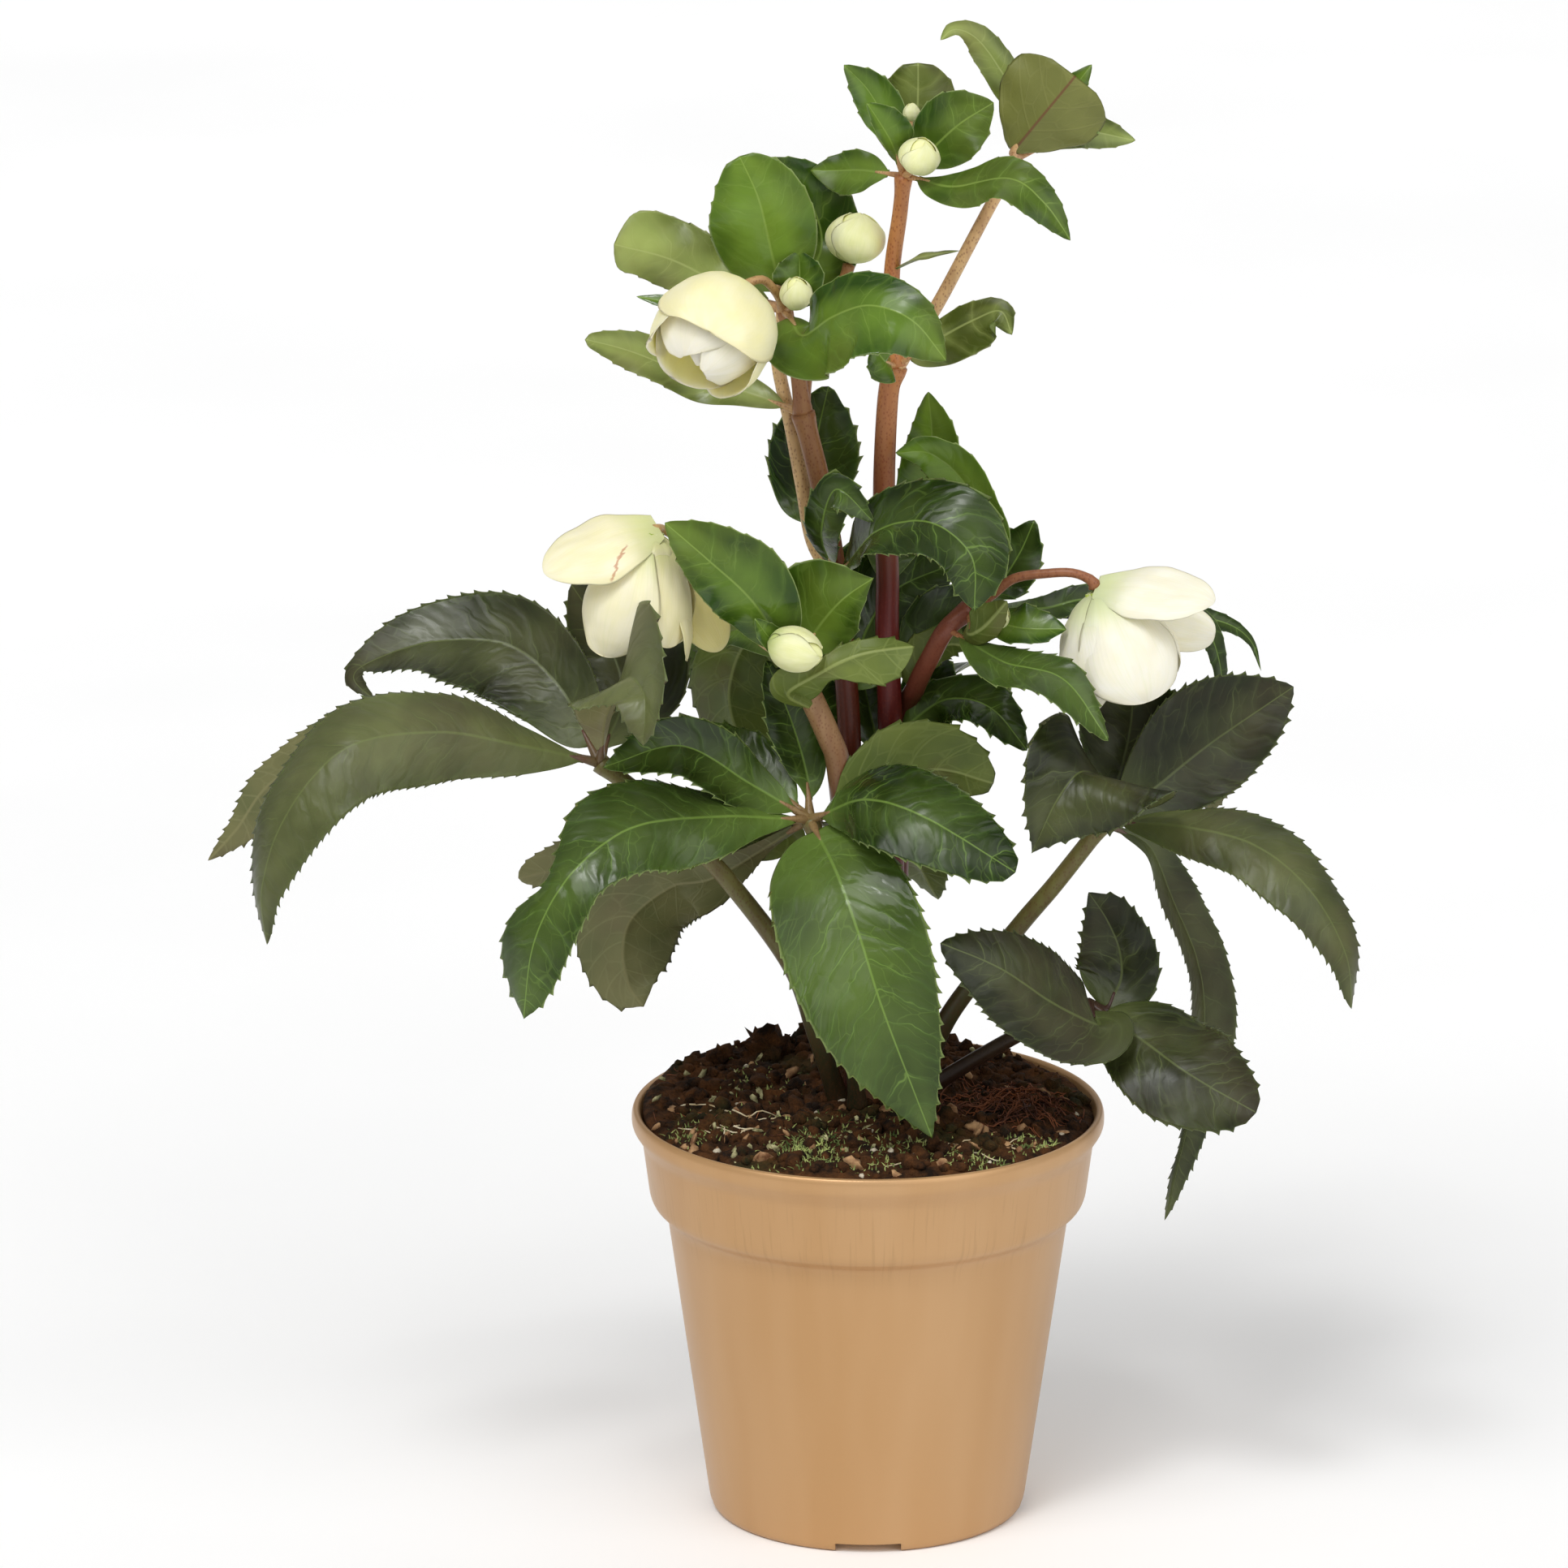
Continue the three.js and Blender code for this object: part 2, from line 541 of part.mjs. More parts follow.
// The outer petal: part of a slightly larger bell, swung open about its base.
function outerPetal(flower, rows = 6, columns = 4) {
  const { axis, up, side, base } = bellFrame(flower);
  const span = THREE.MathUtils.degToRad(flower.span);
  const lift = THREE.MathUtils.degToRad(flower.lift);
  const start = base.clone().addScaledVector(up, bellRadius(flower, 0) + GAP + 0.2);
  const clear = PETAL_THICKNESS / 2 + GAP + 0.5;
  const positions = [];
  const upper = [];
  const lower = [];
  for (let i = 0; i <= rows; i += 1) {
    const t = i / rows;
    const outline = Math.sin(Math.PI * (0.12 + 0.8 * t)) ** 0.7;
    upper.push([]);
    lower.push([]);
    for (let j = 0; j <= columns; j += 1) {
      const v = (2 * j) / columns - 1;
      const a = span * v * outline;
      const edge = i === 0 || i === rows || j === 0 || j === columns;
      const place = (offset) => {
        const radius = bellRadius(flower, t * flower.reach) + clear + offset;
        const along = t * flower.reach * flower.length * (1 - 0.1 * v * v);
        const out = radius * Math.cos(a) - bellRadius(flower, 0) - clear;
        const p = start.clone().addScaledVector(axis, along * Math.cos(lift) - out * Math.sin(lift));
        p.addScaledVector(up, along * Math.sin(lift) + out * Math.cos(lift));
        return p.addScaledVector(side, radius * Math.sin(a)).toArray();
      };
      upper[i].push(positions.length / 3);
      positions.push(...place(edge ? 0 : PETAL_THICKNESS / 2));
      lower[i].push(edge ? upper[i][j] : positions.length / 3);
      if (!edge) positions.push(...place(-PETAL_THICKNESS / 2));
    }
  }
  const triangles = [];
  for (let i = 0; i < rows; i += 1) {
    for (let j = 0; j < columns; j += 1) {
      const [a, b, c, d] = [upper[i][j], upper[i][j + 1], upper[i + 1][j + 1], upper[i + 1][j]];
      const [e, f, g, h] = [lower[i][j], lower[i][j + 1], lower[i + 1][j + 1], lower[i + 1][j]];
      triangles.push(a, b, c, e, g, f, a, c, d, e, h, g);
    }
  }
  return geometryOf(positions, triangles);
}

// ---- pot: a tapering wall with a stepped collar and a rounded lip, drain holes and notches in the foot ----
const potOutside = [
  [0, 0], [12, 0], [13, 2.4], [36, 2.4], [37.5, 0], [FOOT_RADIUS, 0], [43.4, 1.4], [43.9, 4],
  [55.2, 84], [56.2, 86.2], [59.2, 88.6], [60.1, 90.8], [62.1, 106], [63.4, 108.2],
  [RIM_RADIUS, 110.6], [RIM_RADIUS, 113.4], [RIM_RADIUS - 0.5, POT_HEIGHT - 0.3],
  [RIM_RADIUS - 1.3, POT_HEIGHT],
];
const potInside = [
  [RIM_RADIUS - 2.2, POT_HEIGHT - 0.6], [62.1 - POT_WALL, 107], [60.1 - POT_WALL, 91.2], [58.2, 89.6],
  [55.2, 87], [55.2 - POT_WALL, 84.4], [42.9, 5], [42, 3.8], [0, 3.8],
];
let pot = (() => {
  const { positions, triangles } = turned([...potOutside, ...potInside], 36);
  return toSolid(positions, triangles);
})();
for (let k = 0; k < NOTCH.count; k += 1) {
  const cutter = new THREE.BoxGeometry(NOTCH.width, 9, NOTCH.height * 2);
  cutter.translate(0, -41.5, 0);
  cutter.rotateZ((2 * Math.PI * k) / NOTCH.count);
  pot = pot.subtract(solidOf(cutter));
}
for (let k = 0; k < DRAIN_HOLE.count; k += 1) {
  const drill = new THREE.CylinderGeometry(DRAIN_HOLE.radius, DRAIN_HOLE.radius, 9, 12);
  drill.rotateX(Math.PI / 2);
  const a = (2 * Math.PI * (k + 0.5)) / DRAIN_HOLE.count;
  drill.translate(DRAIN_HOLE.ring * Math.cos(a), DRAIN_HOLE.ring * Math.sin(a), 3);
  pot = pot.subtract(solidOf(drill));
}
addMesh('pot', fromSolid(pot), GOLD_PLASTIC);

// A solid from one of the library's own closed shapes, its seams welded.
function solidOf(geometry) {
  const position = geometry.getAttribute('position');
  const seen = new Map();
  const positions = [];
  const weld = Array.from({ length: position.count }, (_, i) => {
    const p = [position.getX(i), position.getY(i), position.getZ(i)];
    const key = p.map((c) => c.toFixed(4)).join();
    if (!seen.has(key)) {
      seen.set(key, positions.length / 3);
      positions.push(...p);
    }
    return seen.get(key);
  });
  const triangles = [];
  const index = Array.from(geometry.index.array, (i) => weld[i]);
  for (let i = 0; i < index.length; i += 3) {
    const [a, b, c] = index.slice(i, i + 3);
    if (a !== b && b !== c && a !== c) triangles.push(a, b, c);
  }
  return toSolid(positions, triangles);
}

// ---- soil: fills the pot, flat where the stems stand, lower at the wall, a little higher at the back ----
const soilLevel = (radius, angle) => {
  const out = THREE.MathUtils.clamp((radius - CROWN_RADIUS) / (60 - CROWN_RADIUS), 0, 1);
  return SOIL_TOP - (SOIL_TOP - SOIL_EDGE) * out * out + 2 * out * Math.sin(angle);
};
const soilSide = [
  [41.2, 4.1], [42.4, 5.2], [53.45, 84.4], [54.4, 87.3], [57.6, 90.2], [58.35, 91.6], [60.3, 106],
];
{
  const surface = [[60.5, 110], [52, 0], [42, 0], [33, 0], [CROWN_RADIUS, 0], [0, 0]];
  const { positions, triangles } = turned([[0, 4.1], ...soilSide, ...surface], 28);
  const firstTop = 1 + soilSide.length * 28;
  for (let i = firstTop; i < positions.length / 3; i += 1) {
    const [x, y] = positions.slice(3 * i, 3 * i + 2);
    positions[3 * i + 2] = soilLevel(Math.hypot(x, y), Math.atan2(y, x));
  }
  addMesh('soil', geometryOf(positions, triangles), PEAT);
}

// ---- stems, each with the short stalks of the leaves and buds that grow from its nodes ----
const nodeCentre = (name) => vec(nodes[name]);
const leafStart = (leaf) => {
  const centre = nodeCentre(leaf.node);
  const towards = vec(leaf.path[0]).sub(centre).normalize();
  return centre.addScaledVector(towards, REACH);
};
const budStalks = {
  bud_upper_small: 'upper', bud_top: 'top', bud_middle: 'middle', bud_side: 'side',
};
for (const [name, { color, runs }] of Object.entries(stems)) {
  let stem = runs.map((run) => tube(run)).reduce((a, b) => a.add(b));
  const own = runs.flatMap((run) => run.slice(2));
  const grows = (node) => own.includes(nodes[node]);
  for (const leaf of Object.values(leaves)) {
    if (!grows(leaf.node)) continue;
    const end = leafStart(leaf);
    const back = nodeCentre(leaf.node).sub(end).normalize();
    end.addScaledVector(back, GAP + 0.05);
    stem = stem.add(tube([1.4, 1.0, nodes[leaf.node], end.toArray()], 5));
  }
  for (const [bud, node] of Object.entries(budStalks)) {
    if (!grows(node)) continue;
    const centre = vec(buds[bud].at);
    const back = nodeCentre(node).sub(centre);
    const far = back.length();
    const reach = Math.min(far - 2, budSurface(buds[bud], back) + GAP);
    const end = centre.addScaledVector(back.normalize(), reach);
    stem = stem.add(tube([1.3, 1.1, nodes[node], end.toArray()], 5));
  }
  addMesh(name, fromSolid(stem), { color, roughness: 0.6, metalness: 0 });
}

// Distance from the centre of a bud to its surface along a direction.
function budSurface({ size, axis }, direction) {
  const turn = new THREE.Quaternion().setFromUnitVectors(new THREE.Vector3(0, 0, 1), vec(axis).normalize());
  const d = direction.clone().normalize().applyQuaternion(turn.invert());
  return 1 / Math.hypot(d.x / size[0], d.y / size[1], d.z / size[2]);
}

// ---- leaves ----
const oldLeaves = ['left', 'right', 'low', 'rear'];
for (const [name, leaf] of Object.entries(leaves)) {
  const points = [leafStart(leaf).toArray(), ...leaf.path];
  addMesh(name, blade(points, leaf), oldLeaves.includes(leaf.node) ? OLD_LEAF : YOUNG_LEAF);
}

// ---- buds ----
for (const [name, { at, size, axis }] of Object.entries(buds)) {
  const geometry = new THREE.SphereGeometry(1, 10, 7);
  geometry.rotateX(Math.PI / 2);
  geometry.scale(...size);
  const turn = new THREE.Quaternion().setFromUnitVectors(new THREE.Vector3(0, 0, 1), vec(axis).normalize());
  geometry.applyQuaternion(turn);
  geometry.translate(...at);
  addMesh(name, fromSolid(solidOf(geometry)), BUD);
}

// ---- flowers ----
for (const [name, flower] of Object.entries(flowers)) {
  addMesh(`${name}_cup`, petalCup(flower), PETAL);
  addMesh(`${name}_outer_petal`, outerPetal(flower), PETAL);
}

export default group;
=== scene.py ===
# A potted hellebore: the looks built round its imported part. Lengths in the dictionaries are millimetres.
import math
from functools import partial

import bmesh
import bpy
import numpy as np
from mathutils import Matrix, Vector


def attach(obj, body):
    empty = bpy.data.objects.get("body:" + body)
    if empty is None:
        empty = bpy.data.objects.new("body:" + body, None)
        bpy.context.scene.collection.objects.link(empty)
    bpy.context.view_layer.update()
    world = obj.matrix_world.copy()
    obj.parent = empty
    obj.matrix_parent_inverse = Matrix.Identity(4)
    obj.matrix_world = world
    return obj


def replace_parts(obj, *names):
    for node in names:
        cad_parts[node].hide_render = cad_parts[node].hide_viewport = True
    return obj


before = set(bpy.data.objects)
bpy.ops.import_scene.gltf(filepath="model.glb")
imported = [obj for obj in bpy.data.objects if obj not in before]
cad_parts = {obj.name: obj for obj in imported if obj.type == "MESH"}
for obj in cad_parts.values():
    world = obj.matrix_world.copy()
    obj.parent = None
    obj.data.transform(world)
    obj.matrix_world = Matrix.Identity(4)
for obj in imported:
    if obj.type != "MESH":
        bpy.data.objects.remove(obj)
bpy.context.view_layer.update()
print("frame loaded:", len(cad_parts), "CAD nodes")
mm = 0.001


# curves, fields and meshes


# A vector divided by its own length; the last axis holds its coordinates.
def unit(v):
    return v / np.maximum(np.linalg.norm(v, axis=-1, keepdims=True), 1e-12)


# Points at equal steps along a Catmull-Rom curve, with their directions and the curve's length. A span from p
# to q is p + t m + t^2 (3d - 2m - n) + t^3 (m + n - 2d), where d = q - p and m, n are half the steps between
# neighbours.
def smoothPath(points, count):
    p = np.asarray(points, float)
    p = np.vstack([2 * p[0] - p[1], p, 2 * p[-1] - p[-2]])
    spanSteps = 60  # fine enough to measure the curve's length by
    t = np.linspace(0, 1, spanSteps, endpoint=False)[None, :, None]
    start, end = p[1:-2, None], p[2:-1, None]
    m, n, d = (end - p[:-3, None]) / 2, (p[3:, None] - start) / 2, end - start
    curve = start + t * m + t**2 * (3 * d - 2 * m - n) + t**3 * (m + n - 2 * d)
    curve = np.vstack([curve.reshape(-1, 3), p[-2]])
    along = np.concatenate([[0], np.cumsum(np.linalg.norm(np.diff(curve, axis=0), axis=1))])
    steps = np.linspace(0, along[-1], count)
    places = np.stack([np.interp(steps, along, curve[:, k]) for k in range(3)], 1)
    return places, unit(np.gradient(places, axis=0)), along[-1]


# A smooth random field of x and y: the sum of sine waves about `size` long, in random directions, over the
# root of their number.
def ripple(x, y, seed, size, waves=7):
    draw = np.random.default_rng(seed)
    turn, phase = draw.uniform(0, 2 * np.pi, (2, waves))
    k = 2 * np.pi / (size * draw.uniform(0.7, 1.4, waves))
    along = np.cos(turn) * x[..., None] + np.sin(turn) * y[..., None]
    return np.sin(k * along + phase).sum(-1) / np.sqrt(waves)


# A fixed number for a name: each letter's code times its place, summed.
def seedOf(name):
    return sum((k + 1) * ord(letter) for k, letter in enumerate(name))


# Quads between neighbours of a grid of rows x columns points, numbered row by row from `first`.
def gridFaces(rows, columns, first=0, around=False, flip=False):
    i = np.arange(rows - 1)[:, None] * columns
    j = np.arange(columns if around else columns - 1)[None, :]
    k = (j + 1) % columns
    quads = np.stack([i + j, i + k, i + columns + k, i + columns + j], -1).reshape(-1, 4) + first
    return quads[:, ::-1] if flip else quads


# One mesh object from whole arrays: points in millimetres, quads (a triangle repeats its last corner), marks
# as values at the points. Points closer than `weld` millimetres are joined, which closes rims and poles.
def putMesh(name, points, quads, materials, marks=None, faceMaterial=None, weld=0.0, body="root"):
    mesh = bpy.data.meshes.new(name)
    mesh.vertices.add(len(points))
    mesh.vertices.foreach_set("co", (np.asarray(points) * mm).astype(np.float32).ravel())
    mesh.loops.add(quads.size)
    mesh.loops.foreach_set("vertex_index", quads.astype(np.int32).ravel())
    mesh.polygons.add(len(quads))
    mesh.polygons.foreach_set("loop_start", np.arange(len(quads), dtype=np.int32) * 4)
    mesh.polygons.foreach_set("loop_total", np.full(len(quads), 4, np.int32))
    mesh.polygons.foreach_set("use_smooth", np.ones(len(quads), bool))
    if faceMaterial is not None:
        mesh.polygons.foreach_set("material_index", faceMaterial.astype(np.int32))
    mesh.update(calc_edges=True)
    for key, values in (marks or {}).items():
        kind = "FLOAT_VECTOR" if values.ndim == 2 else "FLOAT"
        layer = mesh.attributes.new(key, kind, "POINT")
        layer.data.foreach_set("vector" if values.ndim == 2 else "value", values.astype(np.float32).ravel())
    if weld:
        work = bmesh.new()
        work.from_mesh(mesh)
        bmesh.ops.remove_doubles(work, verts=work.verts, dist=weld * mm)
        bmesh.ops.dissolve_degenerate(work, edges=work.edges, dist=1e-7)
        loose = [v for v in work.verts if not v.link_faces]
        bmesh.ops.delete(work, geom=loose, context="VERTS")
        work.to_mesh(mesh)
        work.free()
    for material in materials:
        mesh.materials.append(material)
    piece = bpy.data.objects.new(name, mesh)
    bpy.context.scene.collection.objects.link(piece)
    if body:
        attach(piece, body)
    return piece


# The two faces of a thin sheet: its middle surface moved along its normals by half the thickness upwards, and
# by half the thickness and a ridge downwards. Both grids come back as rows of points, the upper one first.
def sheetLayers(middle, thickness, ridge):
    normal = unit(np.cross(np.gradient(middle, axis=1), np.gradient(middle, axis=0)))
    upper = middle + normal * (thickness / 2)[..., None]
    lower = middle - normal * (thickness / 2 + ridge)[..., None]
    return np.concatenate([upper.reshape(-1, 3), lower.reshape(-1, 3)])


# Rings round a smooth path: radius r = start + (end - start) u, swollen at both ends by swell e^-(s/bulge)^2
# and ribbed by ribs cos 5a. Each end closes on a point that stands 0.3 of its radius out. Returns points,
# quads and u at the points.
def tubeGrid(path, startRadius, endRadius, sides=14, step=1.6, swell=0.0, ribs=0.0, reference=None):
    bulge, cap = 3.5, 0.3
    length = smoothPath(path, 3)[2]
    rings = max(4, int(round(length / step)))
    centre, along, length = smoothPath(path, rings)
    if reference is None:
        reference = np.linalg.svd(centre - centre.mean(0))[2][-1]  # across the plane that the path bends in
    across = unit(reference - (along @ reference)[:, None] * along)
    side = np.cross(along, across)
    u = np.linspace(0, 1, rings)
    s = u * length
    radius = startRadius + (endRadius - startRadius) * u
    radius = radius + swell * (np.exp(-((s / bulge) ** 2)) + np.exp(-(((length - s) / bulge) ** 2)))
    a = np.linspace(0, 2 * np.pi, sides, endpoint=False)
    r = radius[:, None] * (1 + ribs * np.cos(5 * a))
    rim = centre[:, None] + (r * np.cos(a))[..., None] * across[:, None]
    rim = rim + (r * np.sin(a))[..., None] * side[:, None]
    first = np.repeat(centre[:1], sides, 0)[None] - along[0] * cap * radius[0]
    last = np.repeat(centre[-1:], sides, 0)[None] + along[-1] * cap * radius[-1]
    points = np.concatenate([first, rim, last])
    reach = np.concatenate([[0], u, [1]])[:, None] * np.ones(sides)
    return points.reshape(-1, 3), gridFaces(rings + 2, sides, around=True), reach.ravel()


# Several (points, quads, ...) as one: points stacked, quads moved on by the number of points before them.
def joinGrids(parts):
    starts = np.cumsum([0] + [len(part[0]) for part in parts[:-1]])
    stacked = [np.concatenate([part[k] for part in parts]) for k in range(len(parts[0])) if k != 1]
    quads = np.concatenate([part[1] + start for part, start in zip(parts, starts)])
    return [stacked[0], quads] + stacked[1:]


# materials: each is one function and the dictionaries beside it


# An sRGB hex colour as linear light: c / 12.92 below 0.04045, ((c + 0.055) / 1.055)^2.4 above.
def linear(hexColor):
    values = [int(hexColor[k : k + 2], 16) / 255 for k in (1, 3, 5)]
    return [c / 12.92 if c <= 0.04045 else ((c + 0.055) / 1.055) ** 2.4 for c in values] + [1.0]


# Adds one node with its settings. Each input is a value, a socket or a node, whose first output in use is
# then taken; it goes by the input's own name with _ for a space, or by i and the input's number.
def addNode(tree, kind, settings=None, **inputs):
    node = tree.nodes.new("ShaderNode" + kind)
    for key, value in (settings or {}).items():
        setattr(node, key, value)
    for key, value in inputs.items():
        numbered = key[0] == "i" and key[1:].isdigit()
        socket = node.inputs[int(key[1:]) if numbered else key.replace("_", " ")]
        if isinstance(value, bpy.types.Node):
            value = next(output for output in value.outputs if output.enabled)
        if isinstance(value, bpy.types.NodeSocket):
            tree.links.new(value, socket)
        else:
            socket.default_value = value
    return node


# A new material with an empty node tree, and the function that adds nodes to that tree.
def newMaterial(name):
    material = bpy.data.materials.new(name)
    material.use_nodes = True
    material.node_tree.nodes.clear()
    return material, partial(addNode, material.node_tree)


blendColors = {"data_type": "RGBA"}
smooth = {"interpolation_type": "SMOOTHSTEP"}
times, timesPlus = {"operation": "MULTIPLY"}, {"operation": "MULTIPLY_ADD"}
plus, larger, unsigned = {"operation": "ADD"}, {"operation": "MAXIMUM"}, {"operation": "ABSOLUTE"}

# upper faces: darkest and lightest green, a second tint in patches, veins, rim and what the veins' sides pale
# to; how plain the veins and the midrib are, and how much darker the blade grows towards its rim
youngLeaf = dict(
    dark="#28420a", light="#6e8d30", second="#7a8a2e", secondShare=0.3, vein="#8fa850", edge="#b3c67a",
    pale="#5f7d2a", veins=0.26, midrib=0.5, rough=0.22, bump=0.14, outer=0.42)
oliveLeaf = dict(
    dark="#434d18", light="#a8b865", second="#7d7440", secondShare=0.35, vein="#b3bd77", edge="#c6cb92",
    pale="#8f9a52", veins=0.22, midrib=0.4, rough=0.3, bump=0.14, outer=0.24)
collarLeaf = dict(
    dark="#1b2b06", light="#5a7030", second="#2a3a0b", secondShare=0.35, vein="#7f9d48", edge="#abc26e",
    pale="#47632a", veins=0.44, midrib=0.55, rough=0.24, bump=0.24, outer=0.16)
oldLeaf = dict(
    dark="#1d2209", light="#646a3f", second="#443a26", secondShare=0.4, vein="#6f7b45", edge="#75824f",
    pale="#434a2a", veins=0.32, midrib=0.42, rough=0.34, bump=0.22, outer=0.14)


# Hellebore leaf, upper face: waxed leather-like skin, glossy in patches. A midrib under 1 mm wide; side veins
# 8 mm apart that leave it slanting and bend towards the tip, with a fainter net between them; a fine pucker,
# a paler foot, a darker outer half and a pale rim. `leafTone` makes one leaf of a kind darker or lighter than
# another.
def leafUpper(name, look):
    material, add = newMaterial(name)
    place = add("Attribute", {"attribute_name": "leafPlace"}).outputs["Vector"]
    reach = add("Attribute", {"attribute_name": "leafReach"})
    margin = add("Attribute", {"attribute_name": "leafRim"})
    ownTone = add("Attribute", {"attribute_name": "leafTone"})
    split = add("SeparateXYZ", Vector=place)
    side = add("Math", unsigned, i0=split.outputs["X"])
    sign = add("Math", {"operation": "SIGN"}, i0=split.outputs["X"])
    lean = add("Math", timesPlus, i0=side, i1=-20.0, i2=-0.6)
    slant = add("Math", timesPlus, i0=side, i1=lean, i2=split.outputs["Y"])
    flow = add("CombineXYZ", X=side, Y=slant, Z=sign)
    warp = add("TexNoise", Vector=place, Scale=120.0, Detail=2.0)
    warped = add("VectorMath", timesPlus, i0=warp.outputs["Color"], i1=(0.006, 0.007, 0.0), i2=flow)
    stretched = add("VectorMath", times, i0=warped, i1=(150.0, 210.0, 1.0))
    net = add("TexVoronoi", {"feature": "DISTANCE_TO_EDGE"}, Vector=stretched, Scale=1.0)
    fine = add("MapRange", smooth, Value=net.outputs["Distance"], i1=0.005, i2=0.04, i3=0.4, i4=0.0)
    fade = add("TexNoise", Vector=place, Scale=90.0, Detail=2.0)
    kept = add("MapRange", smooth, Value=fade, i1=0.38, i2=0.62, i3=0.15, i4=1.0)
    steps = add("SeparateXYZ", Vector=warped)
    spaced = add("Math", times, i0=steps.outputs["Y"], i1=120.0)
    beat = add("Math", {"operation": "PINGPONG"}, i0=spaced, i1=0.5)
    second = add("MapRange", smooth, Value=beat, i1=0.008, i2=0.036, i3=1.0, i4=0.0)
    outwards = add("MapRange", smooth, Value=margin.outputs["Fac"], i1=0.35, i2=0.95, i3=1.0, i4=0.25)
    branches = add("Math", times, i0=second, i1=outwards)
    either = add("Math", larger, i0=fine, i1=branches)
    patchy = add("Math", times, i0=either, i1=kept)
    shown = add("Math", times, i0=patchy, i1=look["veins"])
    width = add("MapRange", Value=reach.outputs["Fac"], i1=0.0, i2=1.0, i3=0.0006, i4=0.0002)
    ratio = add("Math", {"operation": "DIVIDE"}, i0=side, i1=width)
    midrib = add("MapRange", smooth, Value=ratio, i1=0.3, i2=1.2, i3=look["midrib"], i4=0.0)
    pattern = add("Math", larger, i0=shown, i1=midrib)
    patches = add("TexNoise", Vector=place, Scale=42.0, Detail=3.0)
    drift = add("MapRange", Value=patches, i1=0.3, i2=0.7, i3=-0.3, i4=0.3)
    outer = add("MapRange", smooth, Value=margin.outputs["Fac"], i1=0.25, i2=0.9, i3=0.1, i4=-look["outer"])
    own = add("Math", plus, i0=outer, i1=ownTone.outputs["Fac"])
    tone = add("Math", {"operation": "ADD", "use_clamp": True}, i0=drift, i1=own)
    skin = add("Mix", blendColors, i0=tone, i6=linear(look["dark"]), i7=linear(look["light"]))
    clouds = add("TexNoise", Vector=place, Scale=34.0, Detail=3.0)
    share = add("MapRange", smooth, Value=clouds, i1=0.42, i2=0.66, i3=0.0, i4=look["secondShare"])
    tinted = add("Mix", blendColors, i0=share, i6=skin, i7=linear(look["second"]))
    near = add("MapRange", smooth, Value=beat, i1=0.0, i2=0.2, i3=0.2, i4=0.0)
    soft = add("Mix", blendColors, i0=near, i6=tinted, i7=linear(look["pale"]))
    foot = add("MapRange", smooth, Value=reach.outputs["Fac"], i1=0.0, i2=0.3, i3=0.4, i4=0.0)
    footed = add("Mix", blendColors, i0=foot, i6=soft, i7=linear(look["vein"]))
    veined = add("Mix", blendColors, i0=pattern, i6=footed, i7=linear(look["vein"]))
    rim = add("MapRange", smooth, Value=margin.outputs["Fac"], i1=0.965, i2=1.0, i3=0.0, i4=0.7)
    rimmed = add("Mix", blendColors, i0=rim, i6=veined, i7=linear(look["edge"]))
    rough = add("MapRange", Value=clouds, i1=0.35, i2=0.65, i3=look["rough"] - 0.07, i4=look["rough"] + 0.15)
    pucker = add("TexNoise", Vector=place, Scale=380.0, Detail=2.0)
    sunk = add("MapRange", smooth, Value=beat, i1=0.0, i2=0.26)
    quilted = add("MapRange", smooth, Value=net.outputs["Distance"], i1=0.0, i2=0.3, i3=0.0, i4=0.7)
    cells = add("Math", plus, i0=sunk, i1=quilted)
    height = add("Math", timesPlus, i0=pucker, i1=0.35, i2=cells)
    bump = add("Bump", Strength=look["bump"], Distance=0.0004, Height=height)
    shader = add("BsdfPrincipled", Base_Color=rimmed, Roughness=rough, Normal=bump, IOR=1.42,
                 Specular_IOR_Level=0.4, Subsurface_Weight=0.05, Subsurface_Radius=(0.6, 1.0, 0.3),
                 Subsurface_Scale=0.001)
    add("OutputMaterial", Surface=shader)
    return material


# lower faces: the same names, with the midrib's colour and the brown that some leaves are blotched with
youngUnder = dict(dark="#4c5c22", light="#748038", vein="#87934e", midrib="#8d9756", blotch="#594a28",
                  rough=0.45)
redUnder = dict(dark="#62662e", light="#7a7d3e", vein="#84854b", midrib="#6b3328", blotch="#6e5a34",
                rough=0.45)
oldUnder = dict(dark="#545a32", light="#78744a", vein="#85845a", midrib="#7d7950", blotch="#5e4f36",
                rough=0.5)


